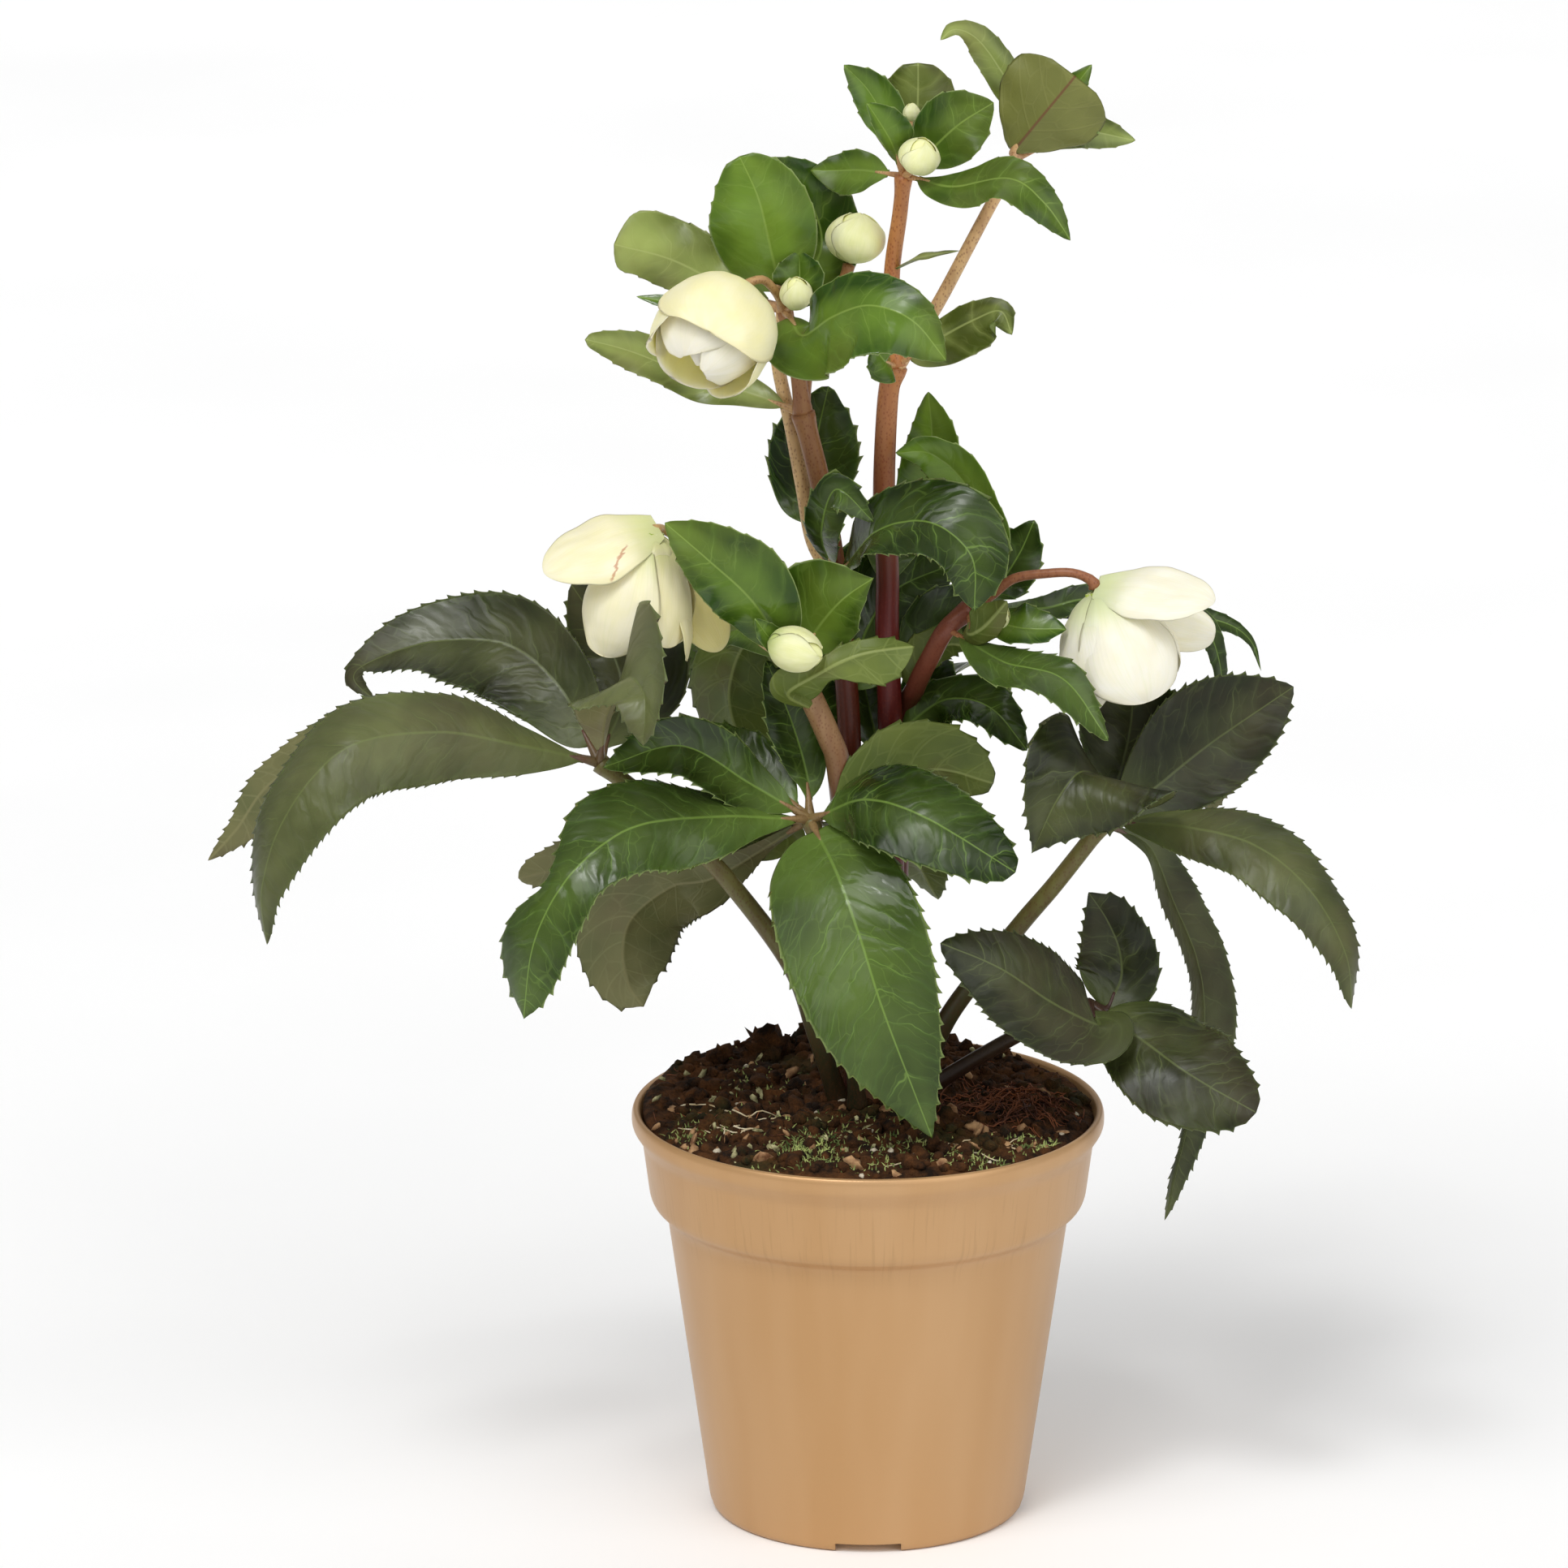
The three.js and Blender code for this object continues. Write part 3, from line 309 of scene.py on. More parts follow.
# Hellebore leaf, lower face: paler, matt and without wax. Its veins stand out a little lighter, the midrib is
# a low cord 1 mm wide, dark red on the highest bract, and parts of the skin are tinged brown.
def leafUnder(name, look):
    material, add = newMaterial(name)
    place = add("Attribute", {"attribute_name": "leafPlace"}).outputs["Vector"]
    ownTone = add("Attribute", {"attribute_name": "leafTone"})
    split = add("SeparateXYZ", Vector=place)
    side = add("Math", unsigned, i0=split.outputs["X"])
    lean = add("Math", timesPlus, i0=side, i1=-20.0, i2=-0.6)
    slant = add("Math", timesPlus, i0=side, i1=lean, i2=split.outputs["Y"])
    flow = add("CombineXYZ", X=side, Y=slant)
    stretched = add("VectorMath", times, i0=flow, i1=(190.0, 150.0, 1.0))
    net = add("TexVoronoi", {"feature": "DISTANCE_TO_EDGE"}, Vector=stretched, Scale=1.0)
    fine = add("MapRange", smooth, Value=net.outputs["Distance"], i1=0.01, i2=0.06, i3=0.16, i4=0.0)
    spaced = add("Math", times, i0=slant, i1=120.0)
    beat = add("Math", {"operation": "PINGPONG"}, i0=spaced, i1=0.5)
    second = add("MapRange", smooth, Value=beat, i1=0.01, i2=0.06, i3=0.3, i4=0.0)
    veins = add("Math", larger, i0=fine, i1=second)
    midrib = add("MapRange", smooth, Value=side, i1=0.0001, i2=0.0005, i3=0.7, i4=0.0)
    patches = add("TexNoise", Vector=place, Scale=60.0, Detail=4.0)
    drift = add("MapRange", Value=patches, i1=0.3, i2=0.7, i3=-0.35, i4=0.35)
    tone = add("Math", {"operation": "ADD", "use_clamp": True}, i0=drift, i1=ownTone.outputs["Fac"])
    skin = add("Mix", blendColors, i0=tone, i6=linear(look["dark"]), i7=linear(look["light"]))
    clouds = add("TexNoise", Vector=place, Scale=34.0, Detail=3.0)
    brown = add("MapRange", smooth, Value=clouds, i1=0.5, i2=0.68, i3=0.0, i4=0.5)
    tinged = add("Mix", blendColors, i0=brown, i6=skin, i7=linear(look["blotch"]))
    veined = add("Mix", blendColors, i0=veins, i6=tinged, i7=linear(look["vein"]))
    ribbed = add("Mix", blendColors, i0=midrib, i6=veined, i7=linear(look["midrib"]))
    grain = add("TexNoise", Vector=place, Scale=700.0, Detail=2.0)
    raised = add("Math", timesPlus, i0=grain, i1=0.3, i2=veins)
    bump = add("Bump", Strength=0.5, Distance=0.0004, Height=raised)
    shader = add("BsdfPrincipled", Base_Color=ribbed, Normal=bump, Roughness=look["rough"],
                 Specular_IOR_Level=0.35)
    add("OutputMaterial", Surface=shader)
    return material


# Hellebore stem: smooth juicy skin, darker towards the soil, with streaks a few centimetres long and dots of
# red half a millimetre wide. `paleness` mixes in the colour of the thin young branches.
def stemBark(name, low, high, speck, zLow, zHigh, paleColor="#b58d72"):
    material, add = newMaterial(name)
    place = add("TexCoord").outputs["Object"]
    split = add("SeparateXYZ", Vector=place)
    paleness = add("Attribute", {"attribute_name": "paleness"})
    height = add("MapRange", smooth, Value=split.outputs["Z"], i1=zLow * mm, i2=zHigh * mm)
    base = add("Mix", blendColors, i0=height, i6=linear(low), i7=linear(high))
    paler = add("Mix", blendColors, i0=paleness.outputs["Fac"], i6=base, i7=linear(paleColor))
    long = add("Mapping", Vector=place, Scale=(420.0, 420.0, 45.0))
    streak = add("TexNoise", Vector=long, Scale=1.0, Detail=3.0)
    share = add("MapRange", Value=streak, i1=0.4, i2=0.75, i3=0.0, i4=0.4)
    streaked = add("Mix", blendColors, i0=share, i6=paler, i7=linear(speck))
    squashed = add("Mapping", Vector=place, Scale=(1350.0, 1350.0, 900.0))
    dots = add("TexVoronoi", Vector=squashed, Scale=1.0)
    dot = add("MapRange", smooth, Value=dots.outputs["Distance"], i1=0.15, i2=0.45, i3=0.5, i4=0.0)
    dotted = add("Mix", blendColors, i0=dot, i6=streaked, i7=linear(speck))
    bump = add("Bump", Strength=0.35, Distance=0.0004, Height=streak)
    shader = add("BsdfPrincipled", Base_Color=dotted, Normal=bump, Roughness=0.4, Specular_IOR_Level=0.4)
    add("OutputMaterial", Surface=shader)
    return material


petalMarks = dict(scar="#b0603f", bloom="#fff4c4")


# Hellebore petal: soft and waxy, cream, greener at its foot and yellower at its rim, with fine veins that run
# along it. `petalTint` mixes in the colour of an ageing petal, and `petalScar` holds the distance in
# millimetres from a scratch and the place along it. `glow` is how much light goes through the thin sheet,
# which softens its shadows, and a sheen stands for the bloom on it.
def petalSkin(name, look):
    material, add = newMaterial(name)
    place = add("Attribute", {"attribute_name": "petalPlace"})
    split = add("SeparateXYZ", Vector=place.outputs["Vector"])
    edge = add("Math", unsigned, i0=split.outputs["X"])
    cloud = add("TexNoise", Vector=place.outputs["Vector"], Scale=3.0, Detail=2.0)
    tone = add("MapRange", Value=cloud, i1=0.35, i2=0.65)
    skin = add("Mix", blendColors, i0=tone, i6=linear(look["skin"]), i7=linear(look["warm"]))
    rim = add("MapRange", smooth, Value=edge, i1=0.72, i2=1.0, i3=0.0, i4=look["rimShare"])
    rimmed = add("Mix", blendColors, i0=rim, i6=skin, i7=linear(look["rim"]))
    foot = add("MapRange", smooth, Value=split.outputs["Y"], i1=0.02, i2=0.4, i3=0.75, i4=0.0)
    footed = add("Mix", blendColors, i0=foot, i6=rimmed, i7=linear(look["foot"]))
    ownTint = add("Attribute", {"attribute_name": "petalTint"})
    aged = add("Mix", blendColors, i0=ownTint.outputs["Fac"], i6=footed, i7=linear(look["aged"]))
    scar = add("Attribute", {"attribute_name": "petalScar"})
    scratch = add("SeparateXYZ", Vector=scar.outputs["Vector"])
    torn = add("TexNoise", Vector=place.outputs["Vector"], Scale=7.0, Detail=5.0)
    swerve = add("MapRange", Value=torn, i3=-1.6, i4=1.6)
    away = add("Math", plus, i0=scratch.outputs["X"], i1=swerve)
    apart = add("Math", unsigned, i0=away)
    thin = add("MapRange", smooth, Value=apart, i1=0.1, i2=0.55, i3=0.7, i4=0.0)
    centred = add("Math", {"operation": "SUBTRACT"}, i0=scratch.outputs["Y"], i1=0.5)
    beyond = add("Math", unsigned, i0=centred)
    ending = add("MapRange", smooth, Value=beyond, i1=0.4, i2=0.52, i3=1.0, i4=0.0)
    scarred = add("Math", times, i0=thin, i1=ending)
    marked = add("Mix", blendColors, i0=scarred, i6=aged, i7=linear(petalMarks["scar"]))
    stretched = add("VectorMath", times, i0=place.outputs["Vector"], i1=(26.0, 1.6, 1.0))
    vein = add("TexNoise", Vector=stretched, Scale=1.0, Detail=2.0)
    veinShare = add("MapRange", Value=vein, i1=0.5, i2=0.75, i3=0.0, i4=0.14)
    veined = add("Mix", blendColors, i0=veinShare, i6=marked, i7=linear(look["foot"]))
    bump = add("Bump", Strength=0.18, Distance=0.0004, Height=vein)
    shader = add("BsdfPrincipled", Base_Color=veined, Normal=bump, Roughness=0.5,
                 Subsurface_Weight=look["glow"], Subsurface_Radius=(1.0, 0.9, 0.5), Subsurface_Scale=0.002,
                 Sheen_Weight=0.3, Sheen_Roughness=0.6, Sheen_Tint=linear(petalMarks["bloom"]))
    add("OutputMaterial", Surface=shader)
    return material


# Small natural things of one stuff: two colours mixed by noise of the given size in millimetres, which is
# also their bump.
def plainSkin(name, dark, light, size, rough, bump=0.4):
    material, add = newMaterial(name)
    place = add("TexCoord").outputs["Object"]
    noise = add("TexNoise", Vector=place, Scale=1000.0 / size, Detail=3.0)
    tone = add("MapRange", Value=noise, i1=0.35, i2=0.65)
    skin = add("Mix", blendColors, i0=tone, i6=linear(dark), i7=linear(light))
    relief = add("Bump", Strength=bump, Distance=size * mm * 0.2, Height=noise)
    shader = add("BsdfPrincipled", Base_Color=skin, Normal=relief, Roughness=rough)
    add("OutputMaterial", Surface=shader)
    return material


peatLook = dict(dark="#1e1208", light="#633d1e", bloom="#3b4420")


# Moist peat: nearly black with brown lumps of 6 mm and less and some green bloom, dull, with a crumbly
# relief.
def peatCompost(name):
    material, add = newMaterial(name)
    place = add("TexCoord").outputs["Object"]
    lumps = add("TexNoise", Vector=place, Scale=160.0, Detail=5.0, Roughness=0.7)
    tone = add("MapRange", Value=lumps, i1=0.38, i2=0.68)
    soil = add("Mix", blendColors, i0=tone, i6=linear(peatLook["dark"]), i7=linear(peatLook["light"]))
    bloom = add("TexNoise", Vector=place, Scale=45.0, Detail=4.0)
    green = add("MapRange", smooth, Value=bloom, i1=0.52, i2=0.7, i3=0.0, i4=0.4)
    mossy = add("Mix", blendColors, i0=green, i6=soil, i7=linear(peatLook["bloom"]))
    grit = add("TexNoise", Vector=place, Scale=700.0, Detail=4.0, Roughness=0.7)
    relief = add("Bump", Strength=1.0, Distance=0.0012, Height=grit)
    shader = add("BsdfPrincipled", Base_Color=mossy, Normal=relief, Roughness=0.9, Specular_IOR_Level=0.2)
    add("OutputMaterial", Surface=shader)
    return material


plasticLook = dict(dark="#ba9060", light="#c0986b", scuff="#9c7c4e", speck="#3a2415", metallic=0.35)


# Moulded polypropylene with gold pigment: satin, so the pigment gives wide soft highlights that pale at the
# sides. Its colour drifts in faint upright bands 20 mm wide. The collar carries faint upright scuffs 1.5 mm
# apart, and a few specks of soil stick to the wall.
def goldPlastic(name):
    material, add = newMaterial(name)
    place = add("TexCoord").outputs["Object"]
    split = add("SeparateXYZ", Vector=place)
    turn = add("Math", {"operation": "ARCTAN2"}, i0=split.outputs["Y"], i1=split.outputs["X"])
    wrapped = add("CombineXYZ", X=turn, Y=split.outputs["Z"])
    long = add("VectorMath", times, i0=wrapped, i1=(55.0, 40.0, 1.0))
    scuff = add("TexNoise", {"noise_dimensions": "2D"}, Vector=long, Scale=1.0, Detail=3.0)
    low = add("MapRange", smooth, Value=split.outputs["Z"], i1=0.076, i2=0.091, i3=0.0, i4=1.0)
    high = add("MapRange", smooth, Value=split.outputs["Z"], i1=0.1, i2=0.109, i3=1.0, i4=0.15)
    band = add("Math", times, i0=low, i1=high)
    mark = add("MapRange", smooth, Value=scuff, i1=0.54, i2=0.76, i3=0.0, i4=0.26)
    scuffed = add("Math", times, i0=mark, i1=band)
    bands = add("Mapping", Vector=place, Scale=(50.0, 50.0, 3.0))
    drift = add("TexNoise", Vector=bands, Scale=1.0, Detail=2.0)
    tone = add("MapRange", Value=drift, i1=0.35, i2=0.65)
    gold = add("Mix", blendColors, i0=tone, i6=linear(plasticLook["dark"]), i7=linear(plasticLook["light"]))
    worn = add("Mix", blendColors, i0=scuffed, i6=gold, i7=linear(plasticLook["scuff"]))
    far = add("TexVoronoi", Vector=place, Scale=34.0, Randomness=1.0)
    speck = add("MapRange", smooth, Value=far.outputs["Distance"], i1=0.025, i2=0.045, i3=0.8, i4=0.0)
    few = add("SeparateColor", Color=far.outputs["Color"])
    rare = add("Math", {"operation": "GREATER_THAN"}, i0=few, i1=0.86)
    stuck = add("Math", times, i0=speck, i1=rare)
    dirty = add("Mix", blendColors, i0=stuck, i6=worn, i7=linear(plasticLook["speck"]))
    grain = add("TexNoise", Vector=place, Scale=2600.0, Detail=1.0)
    relief = add("Bump", Strength=0.12, Distance=0.0002, Height=grain)
    rough = add("MapRange", Value=scuffed, i1=0.0, i2=0.5, i3=0.36, i4=0.46)
    shader = add("BsdfPrincipled", Base_Color=dirty, Roughness=rough, Normal=relief,
                 Metallic=plasticLook["metallic"])
    add("OutputMaterial", Surface=shader)
    return material


leafSkins = {
    "young": (leafUpper("young_leaf_wax", youngLeaf), leafUnder("young_leaf_underside", youngUnder)),
    "collar": (leafUpper("grown_leaf_wax", collarLeaf), leafUnder("grown_leaf_underside", youngUnder)),
    "old": (leafUpper("old_leaf_wax", oldLeaf), leafUnder("old_leaf_underside", oldUnder)),
}
leafSkins["red"] = (leafSkins["young"][0], leafUnder("red_ribbed_underside", redUnder))
leafSkins["olive"] = (leafUpper("olive_leaf_wax", oliveLeaf), leafSkins["young"][1])
growth = {  # how far apart the teeth are, how long their spines, where they start; how puckered the blade
    "young": dict(pitch=4.2, spine=0.5, teeth=0.42, pucker=0.5),
    "olive": dict(pitch=4.2, spine=0.45, teeth=0.5, pucker=0.5),
    "red": dict(pitch=5.0, spine=0.4, teeth=0.6, pucker=0.3),
    "collar": dict(pitch=4.4, spine=1.3, teeth=0.2, pucker=0.9),
    "old": dict(pitch=3.1, spine=1.1, teeth=0.15, pucker=0.8),
}
print("leaf materials made")

# the plant's nodes, stems and leaves: the same places as in the CAD model
nodes = {
    "left": (-73, -20, 219), "right": (64, -12, 200), "low": (60, -14, 149), "collar": (-16, -13, 201),
    "middle": (-20, -17, 246), "bend": (-9, 2, 265), "rear": (-15, 5, 274), "strand": (-18, 2, 311),
    "upper": (-23, -3, 341), "trunk": (5, 4, 267), "fork": (7, 2, 324), "top": (9, 1, 377),
    "crown": (40, 14, 379), "side": (27, -9, 259), "elbow": (21, -10, 254),
}
bladeReach = 5.5  # from a node's centre to where a blade begins
stalkWidth = 2.2  # across a blade's foot
soilTop = 117.3  # where stems and leaf stalks come out

# A leaf grows from its `node`, or from its own `start` on a stem. `path` is its midrib and `face` the way its
# upper side looks, `faceTip` that at the tip. `wide` is its half widths left and right, full and tip say how
# blunt its ends are and peak where it is widest; or `outline` gives places with both half widths. `fold` is
# the angle that its halves are lifted by and `curl` how much that grows to the rim. `look` is its kind where
# that isn't its node's, and `tone` runs from 0, the darkest of its kind, to 1, the lightest. `wave` and
# `waves` are the height and number of the rim's waves.
leaves = {
    "left_leaf_upper": dict(
        node="left",
        path=[(-84, -8, 237), (-98, 2, 246), (-118, 6, 246), (-135, 4, 241), (-140, 0, 237), (-133, -4, 231)],
        wide=(18, 13.5), face=(-0.25, -0.75, 0.6), faceTip=(-0.6, -0.4, 0.5), fold=8, curl=15, peak=0.42,
        full=0.6, tip=1.3, tone=0.24),
    "left_leaf_front": dict(
        node="left",
        path=[(-94, -34, 228), (-116, -42, 234), (-140, -50, 232), (-156, -54, 215), (-163, -55, 195),
              (-162, -54, 178)], wide=(15, 14.5), face=(-0.15, -0.75, 0.65), faceTip=(-0.75, -0.65, 0.1),
        fold=-12, curl=-10, full=0.8, tone=0.68),
    "left_leaf_rear": dict(
        node="left", path=[(-104, -6, 224), (-137, 2, 222), (-162, 6, 207), (-173, 8, 192), (-181, 8, 183)],
        wide=(7, 13), face=(0.35, 0.85, 0.35), fold=5, curl=10, full=0.8, tone=0.4),
    "left_leaf_curled": dict(
        node="left",
        path=[(-71, -33, 237), (-65, -48, 251), (-60.5, -59, 250), (-60, -64, 244), (-60.5, -66, 237)],
        outline=[(0, 1.2, 1.2), (0.2, 5, 7), (0.38, 10, 12), (0.5, 19, 17), (0.6, 21, 17), (0.7, 15, 12),
                 (0.82, 9, 8), (0.93, 4.5, 4.5), (1, 0, 0)], face=(-0.1, 0.8, 0.6),
        faceTip=(-0.15, -0.9, 0.5), fold=(46, -2), tone=0.95),
    "left_leaf_inner": dict(
        node="left", path=[(-67, 0, 232), (-71, 8, 245), (-81, 10, 261)], wide=(13, 21),
        face=(-0.2, -0.95, 0.3), fold=8, curl=10, tone=0.2),
    "right_leaf_folded": dict(
        node="right", path=[(64, -25, 214), (57, -35, 221), (50, -40, 214), (43.5, -42, 200)], wide=(24, 17),
        face=(0.1, 0.8, 0.6), faceTip=(0, -0.9, 0.5), fold=(-6, 48), peak=0.45, full=0.8, tip=1.2, tone=0.18),
    "right_leaf_broad": dict(
        node="right", path=[(78, -6, 208), (93, 2, 218), (116, 10, 232)], wide=(18, 14),
        face=(0.3, -0.93, 0.3), fold=6, curl=10, full=0.55, tone=0.06),
    "right_leaf_outer": dict(
        node="right",
        path=[(84, -26, 203), (103, -36, 201), (118, -44, 191), (128, -48, 174), (130, -48, 158)],
        wide=(11, 11), face=(0.15, -0.7, 0.7), faceTip=(0.75, -0.65, 0.1), fold=-8, curl=-10, tone=0.6),
    "right_leaf_hanging": dict(
        node="right",
        path=[(77, 0, 189), (84, 6, 171), (90, 8, 156), (92.5, 8, 141), (90.5, 8, 118), (82, 2, 81)],
        wide=(9, 12), face=(0.7, -0.7, 0.2), fold=26, curl=6, full=0.75, tone=0.35),
    "right_leaf_back": dict(
        node="right", path=[(78, 26, 203), (90, 44, 200), (96, 58, 182)], wide=(15, 15), face=(0.2, 0.6, 0.8),
        fold=6, tone=0.2),
    "low_leaf_broad": dict(
        node="low", path=[(62, -30, 148), (50, -40, 157), (35, -46, 169), (19, -46, 176)], wide=(14.5, 14),
        face=(0.1, -0.8, 0.6), fold=-5, curl=-8, full=0.35, tip=0.7, tone=0.0),
    "low_leaf_upright": dict(
        node="low", start=(65, -11, 146.5),
        path=[(69, -8, 154), (68.5, -6, 162), (65, -6, 170.5), (60, -7, 178.5)],
        outline=[(0, 2, 2), (0.06, 8, 6), (0.15, 11.5, 9), (0.32, 12.5, 10.5), (0.5, 11.5, 10),
                 (0.7, 8.5, 8.5), (0.86, 4.5, 6), (1, 0, 0)], face=(-0.1, -0.95, 0.2), fold=10, tone=0.08),
    "low_leaf_outer": dict(
        node="low", path=[(74, -24, 142), (87, -34, 135), (105, -40, 126)], wide=(16.5, 15.5),
        face=(0.2, -0.85, 0.5), fold=-5, curl=-8, full=0.45, tip=0.55, tone=0.1),
    "collar_leaf_left": dict(
        node="collar",
        path=[(-42, -34, 208), (-64, -48, 209), (-80, -57, 199), (-90, -60, 181), (-93, -60, 159)],
        outline=[(0, 1.2, 1.2), (0.12, 6, 6), (0.25, 12, 12), (0.4, 14, 16), (0.52, 12.5, 16),
                 (0.62, 10, 9), (0.7, 10.5, 6), (0.79, 10.5, 11.5), (0.88, 9, 11.5), (0.95, 5.5, 6.5),
                 (1, 0, 0)], face=(-0.1, -0.65, 0.7), faceTip=(-0.65, -0.75, 0.1), fold=-8, curl=-10,
        tone=0.42),
    "collar_leaf_front": dict(
        node="collar", path=[(-9, -36, 193), (-3, -47, 179), (4, -53, 158), (17, -50, 122)], wide=(18, 22),
        face=(0, -0.95, 0.35), fold=4, curl=10, peak=0.4, full=0.6, tip=0.95, tone=0.62),
    "collar_leaf_right": dict(
        node="collar", path=[(-1, -33, 212.5), (15, -45, 211), (39, -53, 198)], wide=(14, 13.5),
        face=(0.2, -0.8, 0.55), fold=-4, curl=-10, full=0.8, tip=0.5, tone=0.1),
    "collar_leaf_upper_left": dict(
        node="collar", path=[(-33, -18, 213), (-51, -24, 225), (-72, -28, 220)], wide=(12, 9),
        face=(0, -0.7, 0.7), fold=6, curl=15, tone=0.3),
    "collar_leaf_rear_left": dict(
        node="collar",
        path=[(-42, 0, 181), (-54, 4, 177), (-64.5, 8, 167.5), (-67.5, 10, 157.5), (-66, 10, 147),
              (-61.7, 8, 141)],
        outline=[(0, 1.2, 1.2), (0.15, 2.5, 3), (0.3, 5, 8), (0.45, 10, 15), (0.6, 13, 18),
                 (0.72, 13.5, 18.5), (0.84, 11.5, 16), (0.94, 7, 9), (1, 0, 0)], face=(-0.2, 0.95, 0.2),
        fold=14, curl=6, look="old"),
    "collar_leaf_rear_right": dict(
        node="collar", path=[(-5, -16, 205), (4, -12, 210), (18, -8, 214), (34, -5, 209)], wide=(15.5, 15),
        face=(0.1, 0.95, 0.2), fold=5, full=0.75, tip=0.6),
    "middle_leaf_left": dict(
        node="middle", path=[(-32, -28, 267), (-43, -33, 279), (-55, -34, 290)], wide=(9.5, 14),
        face=(-0.35, -0.8, 0.5), fold=8, curl=10, full=0.6, tone=0.4),
    "middle_leaf_up": dict(
        node="middle", path=[(-13, -19, 258), (-7, -23, 266), (1, -26, 272.5)], wide=(16.5, 9.5),
        face=(-0.1, -0.95, 0.3), fold=6, full=0.4, tip=1.2, peak=0.42, tone=0.3),
    "stem_leaf_curled": dict(
        node="bend", path=[(-13, -10, 281), (-9, -14, 294), (1, -18, 286)], wide=(5, 7),
        face=(-0.5, -0.8, 0.3), faceTip=(0, -0.9, 0.4), fold=15, look="collar", tone=0.28),
    "arching_leaf_front": dict(
        node="bend", path=[(2, -20, 284), (16, -30, 289), (27, -35, 281), (28, -36, 266)],
        outline=[(0, 1.2, 1.2), (0.15, 6.5, 5), (0.35, 10.5, 9), (0.55, 12.5, 12.5), (0.7, 13.5, 11),
                 (0.82, 10, 9), (0.93, 5, 5), (1, 0, 0)], face=(0.05, -0.75, 0.65), fold=(4, 10), curl=10,
        look="collar", tone=0.2),
    "pale_leaf_arching": dict(
        node="side", path=[(32, 0, 273), (27, 0, 290), (17, 0, 300), (7, -2, 301)], wide=(9, 10),
        face=(-0.65, -0.75, 0.1), fold=8, full=0.4, peak=0.45, tone=0.85),
    "pale_leaf_tall": dict(
        node="trunk", path=[(14, 16, 282), (17, 14, 299), (16, 10, 315)], wide=(8, 9),
        face=(-0.1, -0.98, 0.2), fold=8, tone=0.8),
    "arching_leaf_right": dict(
        node="elbow", path=[(36, -26, 249), (52, -36, 247), (64, -40, 231)], wide=(6, 11),
        face=(0.25, -0.6, 0.75), fold=6, curl=10, look="collar", tone=0.62),
    "dark_leaf_behind": dict(
        node="rear", path=[(-16, 15, 286), (-14, 17, 301), (-11, 16, 315)], wide=(12.5, 12.5),
        face=(-0.1, -1, 0.1), fold=6, full=0.55, look="collar", tone=0.3),
    "upper_leaf_upright": dict(
        node="upper", path=[(-27, -6, 360), (-30, -8, 373), (-35, -6, 384)], wide=(15, 14),
        face=(-0.1, -1, 0.15), fold=6, full=0.45, tip=0.5, tone=0.72),
    "upper_leaf_behind": dict(
        node="upper", path=[(-13, 19, 353), (-17, 20, 367), (-28, 18, 378)], wide=(9, 11),
        face=(0.1, -0.95, 0.3), fold=8, tone=0.1),
    "upper_leaf_front": dict(
        node="upper", path=[(-18, -20, 338), (-10, -31, 346), (0, -39, 351), (11, -44, 348), (20, -44, 337)],
        wide=(10, 18), face=(0.05, -0.8, 0.6), fold=2, curl=8, full=0.6, tone=0.4),
    "upper_leaf_left": dict(
        node="upper", path=[(-40, 6, 346), (-54, 10, 352), (-69, 10, 356)],
        outline=[(0, 1.2, 1.2), (0.2, 6, 6), (0.42, 8.5, 9.5), (0.65, 8.5, 11), (0.82, 7.5, 11),
                 (0.92, 7, 9.5), (0.96, 5, 6.5), (1, 0, 0)], face=(-0.1, -0.9, 0.4), fold=(-30, 6), wave=1.5,
        waves=3.2, look="olive", tone=0.6),
    "lower_bract_left": dict(
        node="strand", path=[(-31, 6, 315), (-46, 12, 318), (-64, 14, 325), (-77, 12, 329)], wide=(7, 7),
        face=(0, -0.75, 0.65), fold=8, full=0.6, tip=0.45, look="olive", tone=0.42),
    "top_leaf_right": dict(
        node="top", path=[(17, 0, 385), (24, -2, 392), (33, -3, 398)], wide=(10, 9.5),
        face=(-0.2, -0.95, 0.2), fold=8, full=0.5, tone=0.3),
    "top_leaf_rear_left": dict(
        node="top", path=[(4, 10, 390), (-0.5, 12, 398), (-7, 12, 405)], wide=(6.5, 7), face=(0.2, -1, 0.1),
        fold=26, tone=0.72),
    "top_leaf_rear": dict(
        node="top", path=[(12.5, 15, 388), (13, 18, 396), (13, 19, 404)], wide=(11.5, 12), face=(0, -1, 0.1),
        fold=-8, curl=-14, full=0.4, tip=0.45, look="olive", tone=0.14),
    "top_leaf_drooping": dict(
        node="top", path=[(22, -14, 377.5), (37, -26, 382.5), (46, -31, 377), (53, -32, 367)], wide=(6.5, 10),
        face=(0.15, -0.7, 0.7), fold=4, curl=10, full=0.8, tone=0.14),
    "crown_bract_cupped": dict(
        node="crown", start=(38.4, 10, 381.6), path=[(45, 7, 390.6), (55, 5, 403.5)],
        outline=[(0, 1.5, 1.5), (0.04, 3, 4), (0.11, 5, 6), (0.24, 9.5, 10), (0.42, 14, 14),
                 (0.58, 15.6, 15.4), (0.72, 15.8, 15.6), (0.84, 14, 14), (0.92, 11, 11), (0.97, 7, 7),
                 (1, 0, 0)], face=(0.1, 0.97, 0.1), fold=6, curl=16, wave=1.0, look="red"),
    "crown_bract_curled": dict(
        node="crown", path=[(40, 24, 392), (35, 26, 401), (29, 26, 409), (23, 24, 412), (19, 20, 410)],
        wide=(6, 5), face=(0.4, -0.9, 0.2), faceTip=(0, -0.6, 0.8), fold=10, look="olive", tone=0.42),
    "fork_leaf_right": dict(
